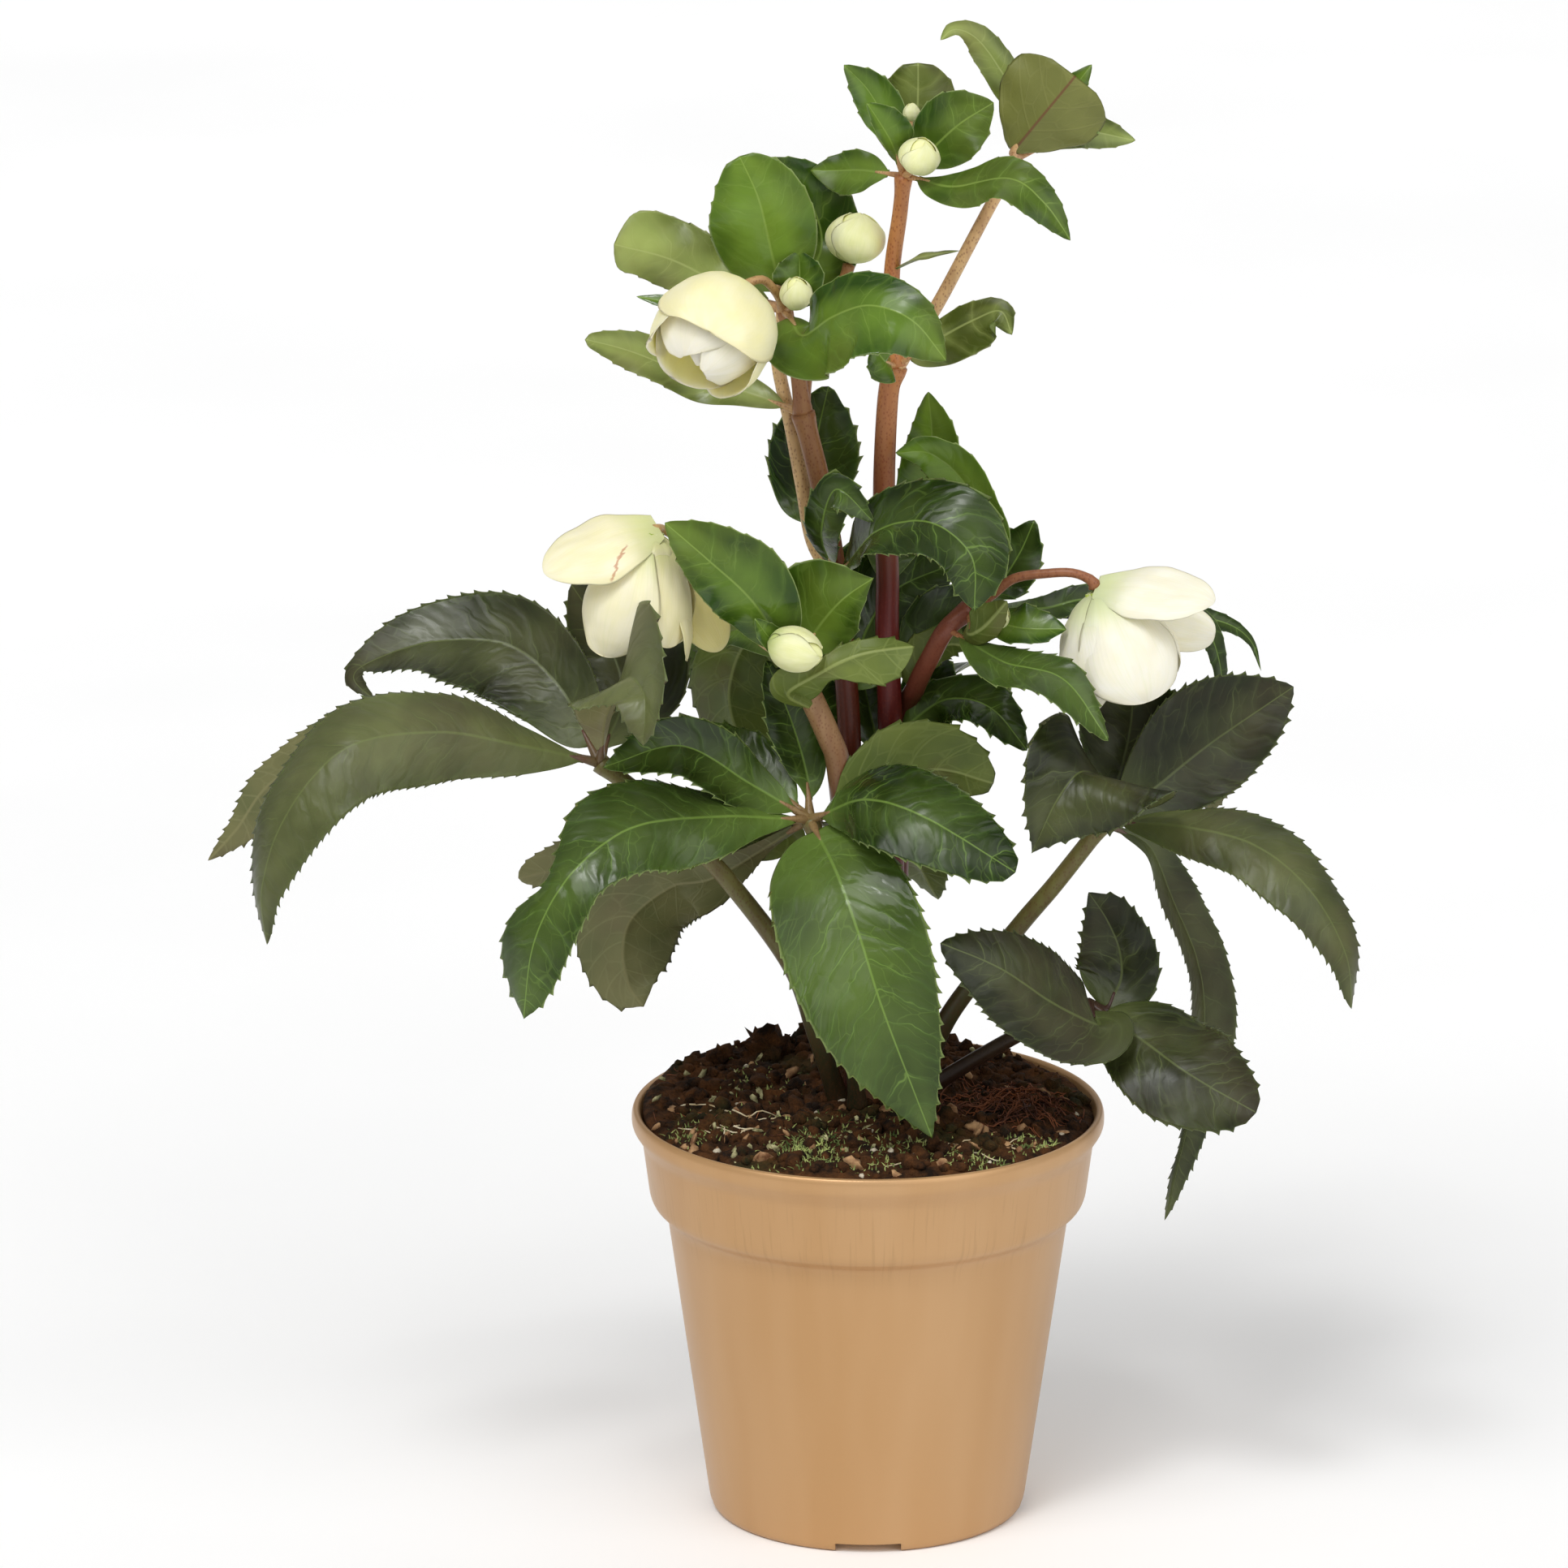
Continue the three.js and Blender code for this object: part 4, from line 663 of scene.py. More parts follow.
        node="fork", path=[(19, -6, 334), (28, -10, 340), (35, -13, 343), (38, -15, 337)], wide=(5, 9),
        face=(-0.1, -0.9, 0.4), fold=6, full=0.5, look="olive", tone=0.06),
}

# leaves and bracts too small or too hidden for a CAD node of their own
extraLeaves = {
    "right_leaf_second": dict(
        node="right", path=[(70, 6, 214), (72, 10, 226), (71, 8, 243)], wide=(14, 14), face=(0, -1, 0.1),
        tone=0.1),
    "collar_leaf_small": dict(
        node="collar", path=[(-29, -4, 211), (-38, 0, 217), (-46, 2, 224)], wide=(9, 9),
        face=(0.2, -0.7, 0.7), fold=20),
    "collar_leaf_left_rear": dict(
        node="collar", path=[(-44, 4, 192), (-69, 8, 185), (-96, 8, 178)], wide=(12, 12),
        face=(-0.1, 0.9, 0.3), tip=0.5, look="old"),
    "collar_leaf_inner": dict(
        node="collar", path=[(-24, -2, 193), (-31, 0, 191), (-39, 0, 194)], wide=(7, 7), face=(0, 0.9, 0.3)),
    "collar_leaf_back": dict(
        node="collar", path=[(0, 20, 186), (12, 45, 174), (20, 60, 156)], wide=(13, 13),
        face=(0.2, 0.6, 0.8)),
    "middle_bract_front": dict(
        node="middle", path=[(-27, -27, 256), (-31, -29, 262)], wide=(4, 4), face=(0, -0.8, 0.6), fold=20),
    "middle_leaf_twisted": dict(
        start=(-16, -18, 234), path=[(-22, -25, 240), (-15, -29, 246), (-3, -30, 252), (12, -28, 254)],
        outline=[(0, 1, 1), (0.16, 5, 5), (0.34, 6.5, 6), (0.5, 3.5, 3.5), (0.64, 7, 4.5), (0.8, 9, 4),
                 (0.92, 6, 3), (1, 0, 0)], face=(0.1, 0.85, 0.5), faceTip=(0.1, 0.6, -0.6), fold=14, wave=1.2,
        teeth=0.45, look="collar", tone=0.4),
    "side_bract_back": dict(
        node="side", path=[(36, 6, 263), (41, 9, 270), (45, 10, 279)], wide=(8.5, 8), face=(-0.3, -0.9, 0.2),
        look="collar", tone=0.25),
    "side_leaf_front": dict(
        node="side", path=[(40, -20, 257), (53, -22, 257)], wide=(7, 6), face=(0, -0.7, 0.7), fold=12,
        tone=0.35),
    "trunk_leaf_low": dict(
        start=(9, 6, 221), path=[(21, 4, 230), (33, -4, 230), (43, -8, 219)], wide=(8, 9),
        face=(0.2, -0.7, 0.7), look="collar", tone=0.2),
    "trunk_leaf_back": dict(
        start=(-6, 4, 233), path=[(0, 18, 247), (8, 24, 256), (23, 27, 262)], wide=(19, 19),
        face=(0, -0.9, 0.4), full=0.5, look="collar", tone=0.15),
    "trunk_leaf_between": dict(
        start=(3, 8, 214), path=[(0, 14, 226), (-3, 17, 240)], wide=(8, 8), face=(0.1, -0.9, 0.3),
        look="collar", tone=0.1),
    "trunk_leaf_small": dict(
        start=(12, 5, 232), path=[(13, 4, 240), (21, 3, 246), (29, 2, 245)], wide=(6, 6), face=(0, 0.9, 0.3),
        fold=16, look="collar"),
    "trunk_leaf_gap": dict(
        start=(10, 9, 240), path=[(17, 14, 247), (28, 17, 250), (39, 18, 245)], wide=(10, 9),
        face=(0, -0.8, 0.6), look="collar", tone=0.1),
    "trunk_leaf_left": dict(
        start=(-7, 8, 212), path=[(-12, 13, 224), (-14, 15, 240)], wide=(9, 9), face=(0.1, -0.95, 0.2),
        look="collar", tone=0.1),
    "trunk_leaf_right": dict(
        start=(12, 13, 213), path=[(16, 17, 226), (18, 19, 242)], wide=(8, 9), face=(-0.1, -0.95, 0.2),
        look="collar", tone=0.1),
    "side_bract_cup": dict(
        node="side", path=[(27, -19, 255), (31, -22, 258), (37, -22, 265)], wide=(4.5, 6.5),
        face=(0.3, 0.9, 0.2), fold=(10, 35), full=0.5),
    "trunk_leaf_rear": dict(
        start=(10, 12, 214), path=[(18, 26, 226), (30, 36, 232), (42, 42, 226)], wide=(11, 11),
        face=(0.1, 0.5, 0.9), look="collar", tone=0.3),
    "trunk_leaf_rear_left": dict(
        start=(-6, 9, 214), path=[(-13, 26, 226), (-19, 42, 231), (-23, 56, 223)], wide=(12, 12),
        face=(-0.1, 0.4, 0.9), look="collar", tone=0.4),
    "stem_leaf_rear": dict(
        start=(5, 6, 262), path=[(8, 22, 271), (12, 36, 274), (14, 50, 266)], wide=(10, 10),
        face=(0, 0.4, 0.9), look="collar", tone=0.4),
    "collar_leaf_upright": dict(
        node="collar", path=[(-17, -6, 212), (-21, -4, 226), (-28, -3, 243)], wide=(8, 8),
        face=(0.35, -0.9, 0.2), fold=14, tone=0.15),
    "middle_leaf_hanging": dict(
        node="middle", path=[(-33, 5, 246), (-38, 10, 231), (-35, 12, 216), (-27, 10, 201)], wide=(12, 13),
        face=(0.2, 0.9, 0.2), fold=16, look="collar", tone=0.4),
    "middle_leaf_behind": dict(
        node="middle", path=[(-37, 8, 249), (-45, 16, 241), (-46, 20, 222)], wide=(5, 5),
        face=(-0.2, -0.9, 0.3)),
    "side_leaf_narrow": dict(
        node="side",
        path=[(47, 12, 253.5), (59, 16, 255), (78, 20, 253), (91, 20, 247), (96, 21, 236), (97.5, 22, 219)],
        wide=(4.5, 5), face=(0.1, -0.5, 0.85), faceTip=(0.7, -0.7, 0), spine=0.6, look="collar", tone=0.2),
    "side_leaf_long": dict(
        node="side", path=[(53, 20, 251), (78, 32, 247), (96, 38, 243), (105, 40, 237), (108.5, 40, 228)],
        wide=(4, 4.5), face=(0.1, -0.5, 0.85), faceTip=(0.7, -0.6, 0.3), spine=0.6, look="collar", tone=0.2),
    "upper_bract_cup": dict(
        node="upper", path=[(-19, -8, 349), (-19, -6, 358)], wide=(8, 8), face=(-0.1, -0.95, 0.3), fold=30,
        tone=0.3),
    "upper_bract_left": dict(
        node="upper", path=[(-46, 8, 339), (-63, 12, 341)], wide=(3, 3), face=(0, -0.8, 0.6)),
    "top_bract_left": dict(
        node="top", path=[(5, -7, 389), (-1, -8, 399)], wide=(3, 7), face=(0.3, -0.9, 0.3), fold=20),
    "top_bract_low": dict(
        node="top", path=[(-2, 12, 376), (-9, 16, 375), (-16, 18, 374.5)], wide=(7.5, 5.5),
        face=(0, -0.9, 0.4), tip=0.9, tone=0.5),
    "branch_bract": dict(
        start=(6, 5, 350), path=[(13, -2, 355), (24, -6, 358)], wide=(2, 2), face=(0, -0.3, 0.95),
        look="olive", tone=0.4),
    "crown_bract_tall": dict(
        node="crown", path=[(50, 24, 389), (60, 26, 402)], wide=(4.5, 4.5), face=(-0.3, -0.9, 0.2)),
    "crown_bract_right": dict(
        node="crown", path=[(56, 24, 384), (72, 26, 381)], wide=(5, 5), face=(0, -0.9, 0.4), look="olive",
        tone=0.4),
    "fork_bract_front": dict(
        node="fork", path=[(4, -8, 328), (1, -9, 332)], wide=(6, 6), face=(0.2, -0.9, 0.4), full=0.5,
        tip=0.5),
}
looksOfNodes = {"left": "old", "right": "old", "low": "old", "rear": "collar", "collar": "collar"}


# A leaf's kind: its own, or its node's, or young.
def lookOf(leaf):
    return leaf.get("look") or looksOfNodes.get(leaf.get("node"), "young")


# Where a blade begins: a stem point of its own, or `bladeReach` from the node's centre towards the path's
# first point.
def bladeStart(leaf):
    if "start" in leaf:
        return np.array(leaf["start"], float)
    centre = np.array(nodes[leaf["node"]], float)
    return centre + bladeReach * unit(np.array(leaf["path"][0], float) - centre)


# a blade's columns from rim to rim, over the midrib at 0: closest where it bends most
halfColumns = np.array([0, 0.05, 0.13, 0.25, 0.4, 0.56, 0.72, 0.86, 0.95, 1.0])
bladeColumns = np.concatenate([-halfColumns[:0:-1], halfColumns])
# what all blades have in common: rows of points to a tooth, how far teeth stand out and on, how they differ
# and where they end; the sheet's thickness, the half width that its tip keeps, the distance of its veins, the
# channel on the midrib and the ridge below it
blade = dict(toothRows=5, toothOut=0.8, toothOn=0.9, toothSizes=(0.45, 1.15), toothEnd=0.985, thickness=0.5,
             tip=0.02, veinGap=8, channel=0.3, channelWidth=1.3, ridge=0.4, ridgeWidth=0.6)


# A toothed blade round its midrib S(u): P = S + h(u) w (|v| cos f across + |v| sin f normal) + relief, where
# h = sin(pi u^k)^p, k = ln 0.5 / ln peak and p runs from full to tip; f is the fold plus half the curl times
# |v|. The relief is a wave of the rim, a puckering between the veins and a channel along the midrib. Each
# tooth is a spine that grows as the cube of its place and stands out and forwards from the rim.
def leafBlade(name, leaf, look):
    leaf = {**growth[look], **leaf}
    face = np.array(leaf["face"], float)
    faceTip = np.array(leaf.get("faceTip", face), float)
    fold, curl, peak = np.zeros(2) + leaf.get("fold", 8), leaf.get("curl", 0), leaf.get("peak", 0.5)
    full, tip, pitch = leaf.get("full", 0.7), leaf.get("tip", 0.8), leaf["pitch"]
    draw = np.random.default_rng(seedOf(name))
    points = [bladeStart(leaf)] + list(leaf["path"])
    length = smoothPath(points, 3)[2]
    teeth = max(5, int(round(length / pitch)))
    rows = blade["toothRows"] * teeth + 1
    spine, along, length = smoothPath(points, rows)
    u = np.linspace(0, 1, rows)[:, None]
    facing = face * (1 - u) + faceTip * u
    normal = unit(facing - (facing * along).sum(1, keepdims=True) * along)
    side = np.cross(along, normal)
    v = bladeColumns[None, :]
    if "outline" in leaf:
        shape = smoothPath(leaf["outline"], 240)[0]
        left, right = (np.interp(u, np.maximum.accumulate(shape[:, 0]), shape[:, k]) for k in (1, 2))
        half = np.where(v > 0, right, left)
    else:
        bend = math.log(0.5) / math.log(peak)
        outline = np.maximum(np.sin(np.pi * u**bend), 0) ** (full + (tip - full) * u)
        half = outline * np.where(v > 0, leaf["wide"][1], leaf["wide"][0])
    half = np.maximum(half, 0.5 * stalkWidth * (1 - u) ** 0.6)
    half[-1] = blade["tip"]
    lift = np.radians(np.where(v > 0, fold[1], fold[0]) + 0.5 * curl * np.abs(v))
    x, y = half * v, u * length + 0 * v
    phase = draw.uniform(0, 1, 2)[(v > 0).astype(int)]
    middle = np.sin(np.pi * u) ** 0.5 * np.minimum(half / 6, 1)
    wave = leaf.get("wave", 0.7) * v**2 * np.sin(2 * np.pi * (leaf.get("waves", 2.5) * u + phase))
    seed = seedOf(name)
    between = 2 * np.pi * ((y - 0.9 * np.abs(x)) / blade["veinGap"] + phase)
    quilt = 0.06 * np.sin(between) * 4 * np.abs(v) * (1 - np.abs(v))
    quilt = quilt + (0.1 + 0.45 * np.abs(v)) * ripple(x, y, seed, 24) + 0.07 * ripple(x, y, seed + 1, 7)
    quilt = leaf["pucker"] * quilt
    channel = -blade["channel"] * np.exp(-((x / blade["channelWidth"]) ** 2))
    relief = (wave + quilt + channel) * middle
    grid = spine[:, None] + (x * np.cos(lift))[..., None] * side[:, None]
    grid = grid + (np.abs(x) * np.sin(lift) + relief)[..., None] * normal[:, None]
    place = u[:, 0] * teeth
    grown = np.clip((place - np.floor(place + 1e-9)) / 0.8, 0, 1) ** 3
    sizes = draw.uniform(*blade["toothSizes"], (teeth + 1, 2))[np.floor(place + 1e-9).astype(int)]
    window = ((u[:, 0] > leaf["teeth"]) & (u[:, 0] < blade["toothEnd"])) * np.minimum(half[:, -1] / 5, 1)
    for column, which, turn in ((0, 0, -1), (-1, 1, 1)):
        out = leaf["spine"] * grown * sizes[:, which] * window
        grid[:, column] += out[:, None] * (blade["toothOut"] * turn * side + blade["toothOn"] * along)
    thickness = blade["thickness"] * (1 - np.abs(v) ** 3) * np.minimum(half / 2, 1)
    ridge = blade["ridge"] * np.exp(-((x / blade["ridgeWidth"]) ** 2)) * (1 - u) ** 0.7 * (1 - v**2)
    for sheet in (thickness, ridge):
        sheet[[0, -1]] = 0
        sheet[:, [0, -1]] = 0
    points = sheetLayers(grid, thickness, ridge)
    columns = len(bladeColumns)
    quads = np.concatenate([gridFaces(rows, columns), gridFaces(rows, columns, rows * columns, flip=True)])
    under = np.repeat([0, 1], len(quads) // 2)
    spot = np.stack([x * mm, y * mm, 0 * x + seed % 97 * 0.01], -1).reshape(-1, 3)
    marks = {
        "leafPlace": np.tile(spot, (2, 1)),
        "leafReach": np.tile((u + 0 * v).ravel(), 2),
        "leafRim": np.tile((np.abs(v) + 0 * u).ravel(), 2),
        "leafTone": np.full(len(points), leaf.get("tone", 0.5)),
    }
    piece = putMesh(name + "_blade", points, quads, leafSkins[look], marks, under, weld=0.004)
    return piece


for name, leaf in leaves.items():
    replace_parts(leafBlade(name, leaf, lookOf(leaf)), name)
for name, leaf in extraLeaves.items():
    leafBlade(name, leaf, lookOf(leaf))
print("leaves made:", len(leaves) + len(extraLeaves))


# stems: tapered tubes with a thickening at every node, the leaflets' own stalks and the stalks of the buds
barks = {  # the colours of foot, top and dots, the heights of both and the colour of pale branches
    "stem_red": stemBark("red_stem_skin", "#5a1614", "#bd7f4a", "#74281c", 252, 335, "#dcb883"),
    "stem_russet": stemBark("russet_stem_skin", "#52200f", "#9a6d42", "#6b2a1a", 238, 330, "#dcb883"),
    "stem_brown": stemBark("tan_stem_skin", "#6a452c", "#a8835a", "#6f3c26", 200, 240, "#c7a36a"),
    "stem_rust": stemBark("rust_stem_skin", "#5c2a1f", "#834a34", "#652a1c", 200, 266, "#c08a58"),
    "stalk_olive": stemBark("olive_stalk_skin", "#2c2a18", "#6f6a38", "#59351f", 118, 190, "#5c3a38"),
    "stalk_tan": stemBark("tan_stalk_skin", "#2c2a18", "#6f6a38", "#59351f", 118, 190, "#a5805a"),
    "stalk_dark": stemBark("dark_stalk_skin", "#2c1a12", "#423421", "#24110b", 118, 150, "#4d2f2a"),
}
# A flower's foot, axis, length and radius; `close` and `shoulder` shape its bell, foot and point its petals'
# ends. A petal's `at` is its turn from the front and `span` half its width, both in degrees; `reach` is its
# length as a share, `layer` how far out it lies, `rise` how soon it gets there, `flare` how far its corners
# turn out and `look` its wax if it isn't the flower's own. `wings` are petals lifted off the cup. A flower
# that is `shut` has a core.
flowers = {
    "upper_flower": dict(
        base=(-35.4, -19.5, 349.4), axis=(-0.42, -0.73, -0.54), length=28.5, radius=15.2, close=0.75,
        shoulder=0.48, foot=0.85, point=0.36, shut=dict(inset=5.0, reach=0.84, shoulder=0.58), petals=[
            dict(at=16, span=82, reach=0.9, layer=1.7, rise=16),
            # the next three outer petals take the golden wax, which paints light onto their inner faces where
            # these lie in the cup's shade
            dict(at=108, span=58, reach=0.92, layer=0.3, flare=1.0, look="golden"),
            dict(at=-100, span=60, reach=0.9, layer=0.7, flare=0.6, look="golden"),
            dict(at=176, span=64, reach=0.88, layer=-0.3, flare=0.6, look="golden"),
            dict(at=58, span=88, reach=1.02, layer=-1.3, close=0.86, shoulder=0.58, look="right_flower"),
            dict(at=-42, span=88, reach=1.05, layer=-1.8, close=0.85, shoulder=0.58, look="right_flower"),
            dict(at=8, span=80, reach=1.0, layer=-2.6, close=0.9, shoulder=0.58, look="right_flower"),
        ]),
    "left_flower": dict(
        base=(-58, -21, 284), axis=(-0.2, 0, -0.98), length=35, radius=14.5, close=0.7, shoulder=0.8,
        foot=0.6, petals=[
            dict(at=33, span=54, reach=0.97, layer=0.7, flare=0.2),
            dict(at=-42, span=44, reach=0.8, layer=0.1, flare=0.4, tint=0.25),
            dict(at=-82, span=34, reach=0.94, layer=1.2, flare=1.2, close=0.5, tint=0.3),
            dict(at=-26, span=30, reach=0.42, layer=2.0, close=0.34, tint=0.15),
            dict(at=112, span=46, reach=0.9, layer=-0.3),
            dict(at=-140, span=46, reach=0.95, layer=0.6, flare=0.8, tint=0.3),
            dict(at=168, span=52, reach=0.95, layer=0.1),
        ], wings=[
            dict(start=(-57, -21, 285.5), tip=(-87.5, -32, 275.5), normal=(-0.2, -0.62, 0.76), half=11.3,
                 arch=2.2, bow=-2.6, foot=0.4, widest=0.5, point=0.62, tint=0.06,
                 scar=((3.2, 10.6), (10.6, 19.4))),
            dict(start=(-56, -14, 278), tip=(-40, -14, 249), normal=(0.3, -0.9, 0.1), half=7.5, arch=1.6,
                 bow=-1.2, foot=0.6, widest=0.55, point=0.5, tint=0.7),
        ]),
    "right_flower": dict(
        base=(61, -14, 265.5), axis=(0.3, -0.12, -0.95), length=32, radius=16, close=0.66, shoulder=0.75,
        foot=0.7, petals=[
            dict(at=-22, span=60, reach=0.97, layer=0.7, flare=0.3),
            dict(at=54, span=56, reach=0.95, layer=0.1, flare=0.2),
            dict(at=-118, span=46, reach=0.9, layer=0.2),
            dict(at=118, span=48, reach=0.94, layer=-0.3),
            dict(at=178, span=48, reach=0.95, layer=0.4),
        ], wings=[
            dict(start=(61, -15, 267), tip=(92.6, -27, 266), normal=(0.12, -0.6, 0.8), half=9.8, arch=2.2,
                 bow=-2.0, foot=0.42, widest=0.45, point=0.5),
            dict(start=(66, -9, 259), tip=(93.6, -8, 251.5), normal=(0.1, -0.93, 0.35), half=6.8, arch=1.4,
                 bow=-1.2, foot=0.7, widest=0.62, point=0.42),
        ]),
}


# The point `back` millimetres behind a flower's foot on its own axis.
def stalkPoint(flower, back):
    flower = flowers[flower]
    return tuple(np.array(flower["base"], float) - unit(np.array(flower["axis"], float)) * back)


# A run is its first radius, its last radius, its points and, for a pale branch, how pale. `slot` is given
# where a bark is a variety of another one's finish.
stems = {
    "tall_stem_right": dict(skin="stem_red", runs=[
        (4.0, 2.8, [(4, 8, soilTop), (6, 6, 165), (6, 4, 217), (5, 4, 247), "trunk", (4, 4, 288), (5, 3, 315),
                    "fork"]),
        (2.4, 2.0, ["fork", (6, 4, 335), (6, 5, 350), (8, 3, 366), "top"]),
        (1.9, 1.6, ["fork", (12, 5, 330), (19, 8, 341), (26, 10, 354), (33, 12, 367), "crown"], 0.85),
    ]),
    "tall_stem_left": dict(skin="stem_russet", slot="stem_red", runs=[
        (3.6, 2.8, [(-3, 5, soilTop), (-3, 2, 176), (-5, 0, 213), (-6, 2, 233), "bend", (-13, 2, 290),
                    "strand"]),
        (2.3, 1.8, ["strand", (-20, 0, 327), "upper"]),
        (1.5, 1.2, ["strand", (-16, 5, 326), (-13, 7, 338), (-7, 8, 347), (-5.6, 8.2, 350.7)]),
        (2.2, 1.7, ["bend", "rear", (-18, 7, 289), (-21, 8, 305), (-25, 6, 326), "upper"], 1.0),
        (1.3, 1.1, ["upper", (-25, -9, 347), (-29, -14, 352), stalkPoint("upper_flower", 3),
                    stalkPoint("upper_flower", 0.7)], 0.5),
    ]),
    "middle_stem": dict(skin="stem_brown", runs=[
        (3.7, 3.2, [(-1, -2, soilTop), (-5, -8, 179), (-8, -12, 214), (-11, -14, 225), "middle"]),
        (1.4, 1.2, ["middle", (-31, -6, 251), (-42, -9, 266), (-50, -12, 278), (-55.5, -16, 283.2),
                    stalkPoint("left_flower", 0.3)], 1.0),
    ]),
    "short_stem_right": dict(skin="stem_rust", slot="stem_brown", runs=[
        (3.4, 2.5, [(8, 13, soilTop), (8, 13, 173), (9.5, 11, 220), (13, 4, 234), (17, -4, 245), "elbow",
                    "side"]),
        (1.4, 1.2, ["side", (33, -9, 263), (39, -10, 268), (48, -12, 270), (55, -13.5, 270.5),
                    stalkPoint("right_flower", 3), stalkPoint("right_flower", 0.7)], 0.3),
    ]),
    "left_leaf_stalk": dict(skin="stalk_olive", runs=[
        (2.8, 2.3, [(-8, -2, soilTop), (-14, -8, 138), (-21, -12, 159), (-37, -16, 183), (-49, -18, 197),
                    (-62, -20, 210), "left"])]),
    "right_leaf_stalk": dict(skin="stalk_olive", runs=[
        (2.8, 2.3, [(12, 2, soilTop), (15, 2, 123), (23, -2, 143), (41, -8, 169), (51, -10, 182), "right"])]),
    "low_leaf_stalk": dict(skin="stalk_dark", runs=[
        (2.3, 1.9, [(12, -6, soilTop), (15, -6, 121), (25, -7, 128), (38, -10, 137), (51, -13, 145),
                    "low"])]),
    "collar_leaf_stalk": dict(skin="stalk_tan", slot="stalk_olive", runs=[
        (2.4, 2.2, [(-3, -9, soilTop), (-6, -18, 159), (-11, -16, 186), "collar"])]),
}
stemOfNode = {
    "left": "left_leaf_stalk", "right": "right_leaf_stalk", "low": "low_leaf_stalk",
    "collar": "collar_leaf_stalk", "middle": "middle_stem", "bend": "tall_stem_left",
    "rear": "tall_stem_left", "strand": "tall_stem_left", "upper": "tall_stem_left",
    "trunk": "tall_stem_right", "fork": "tall_stem_right", "top": "tall_stem_right",
    "crown": "tall_stem_right", "side": "short_stem_right", "elbow": "short_stem_right",
}
buds = {
    "bud_upper_round": dict(at=(-4, 9, 358), size=(8, 7.5, 7), axis=(0.2, 0.1, 1)),
    "bud_upper_small": dict(at=(-20, -13, 348), size=(4.3, 4, 4.8), axis=(0, -0.4, 1), node="upper"),
    "bud_top": dict(at=(13, -9, 384.8), size=(5.6, 5, 5), axis=(0.3, -0.4, 1), node="top"),
    "bud_middle": dict(at=(-20, -30, 254), size=(6, 5.6, 7.8), axis=(1, -0.3, -0.2), node="middle"),
    "bud_side": dict(at=(34, -17, 259), size=(3.6, 3.5, 4.6), axis=(0.6, -0.4, 0.6), node="side"),
    "bud_top_tiny": dict(at=(11, 7, 393), size=(2.2, 2.1, 2.6), axis=(0.1, 0.3, 1), node="top", extra=True),
}
allLeaves = {**leaves, **extraLeaves}
# leaflets' and buds' own stalks: their radii, how far one runs on into its blade, which blades are narrow,
# how pale
leafStalk = dict(thin=1.0, thick=1.6, end=0.35, inside=5, narrow=7, foot=0.35, paler=0.55)
budStalk = dict(start=1.0, end=0.8, sag=0.4, pale=0.6)
for name, stem in stems.items():
    parts = []
    for run in stem["runs"]:
        path = [nodes[p] if isinstance(p, str) else p for p in run[2]]
        points, quads, u = tubeGrid(path, run[0], run[1], swell=0.55, ribs=0.03)
        paleness = run[3] if len(run) > 3 else 0.0
        parts.append([points, quads, np.full(len(points), paleness)])
    for leaf in allLeaves.values():  # a leaflet's own stalk, which runs on into the midrib below the blade
        if stemOfNode.get(leaf.get("node")) != name:
            continue
        centre, first = np.array(nodes[leaf["node"]], float), bladeStart(leaf)
        inside = first + unit(np.array(leaf["path"][0], float) - first) * leafStalk["inside"]
        small = min(leaf.get("wide", (9, 9))) < leafStalk["narrow"]
        radius = leafStalk["thin"] if small else leafStalk["thick"]
        points, quads, u = tubeGrid([centre, first, inside], radius, leafStalk["end"], sides=10, step=1.2)
        parts.append([points, quads, leafStalk["foot"] + leafStalk["paler"] * u])
    for bud in buds.values():
        if stemOfNode.get(bud.get("node")) == name:
            centre, to = np.array(nodes[bud["node"]], float), np.array(bud["at"], float)
            foot = to - unit(np.array(bud["axis"], float)) * bud["size"][2] * 0.8
            middle = (centre + foot) / 2 + (0, 0, -budStalk["sag"])
            points, quads, u = tubeGrid([centre, middle, foot], budStalk["start"], budStalk["end"], sides=10,
                                        step=1.2)
            parts.append([points, quads, np.full(len(points), budStalk["pale"])])
    points, quads, paleness = joinGrids(parts)
    piece = putMesh(name + "_skin", points, quads, [barks[stem["skin"]]], {"paleness": paleness}, weld=0.002)
    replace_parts(piece, name)
print("stems made:", len(stems))

# flowers: cups of overlapping petals round a bunch of nectaries and stamens, or round a closed core
petalLooks = {
    "upper_flower": petalSkin("cream_petal_wax", dict(
        skin="#fbf2b6", warm="#fcf4c6", rim="#f8eca8", rimShare=0.4, foot="#ece69c", aged="#cfc46a",
        glow=0.25)),
    # painted light: a copy of the cream wax, paler and yellower at its foot and rim, for outer petals whose
    # inner faces lie in the cup's shade; it stands in for the light that shines through them
    "golden": petalSkin("shade_brightened_petal_wax", dict(
        skin="#fdf0b4", warm="#fef3c2", rim="#fdf0ba", rimShare=0.4, foot="#fbe9a4", aged="#cfc46a",
        glow=0.7)),
    "left_flower": petalSkin("ivory_petal_wax", dict(
        skin="#f3ebc0", warm="#f7efce", rim="#ece5a6", rimShare=0.45, foot="#c4d07c", aged="#c3b552",
        glow=0.25)),
    "right_flower": petalSkin("white_petal_wax", dict(
        skin="#f1ebd2", warm="#f4f0de", rim="#ece6bf", rimShare=0.45, foot="#c3d487", aged="#cfc46a",
        glow=0.25)),
    "bud": petalSkin("bud_wax", dict(
        skin="#eff0aa", warm="#f6f6bc", rim="#fafac6", rimShare=0.5, foot="#aec763", aged="#cfc46a",
        glow=0.25)),
}
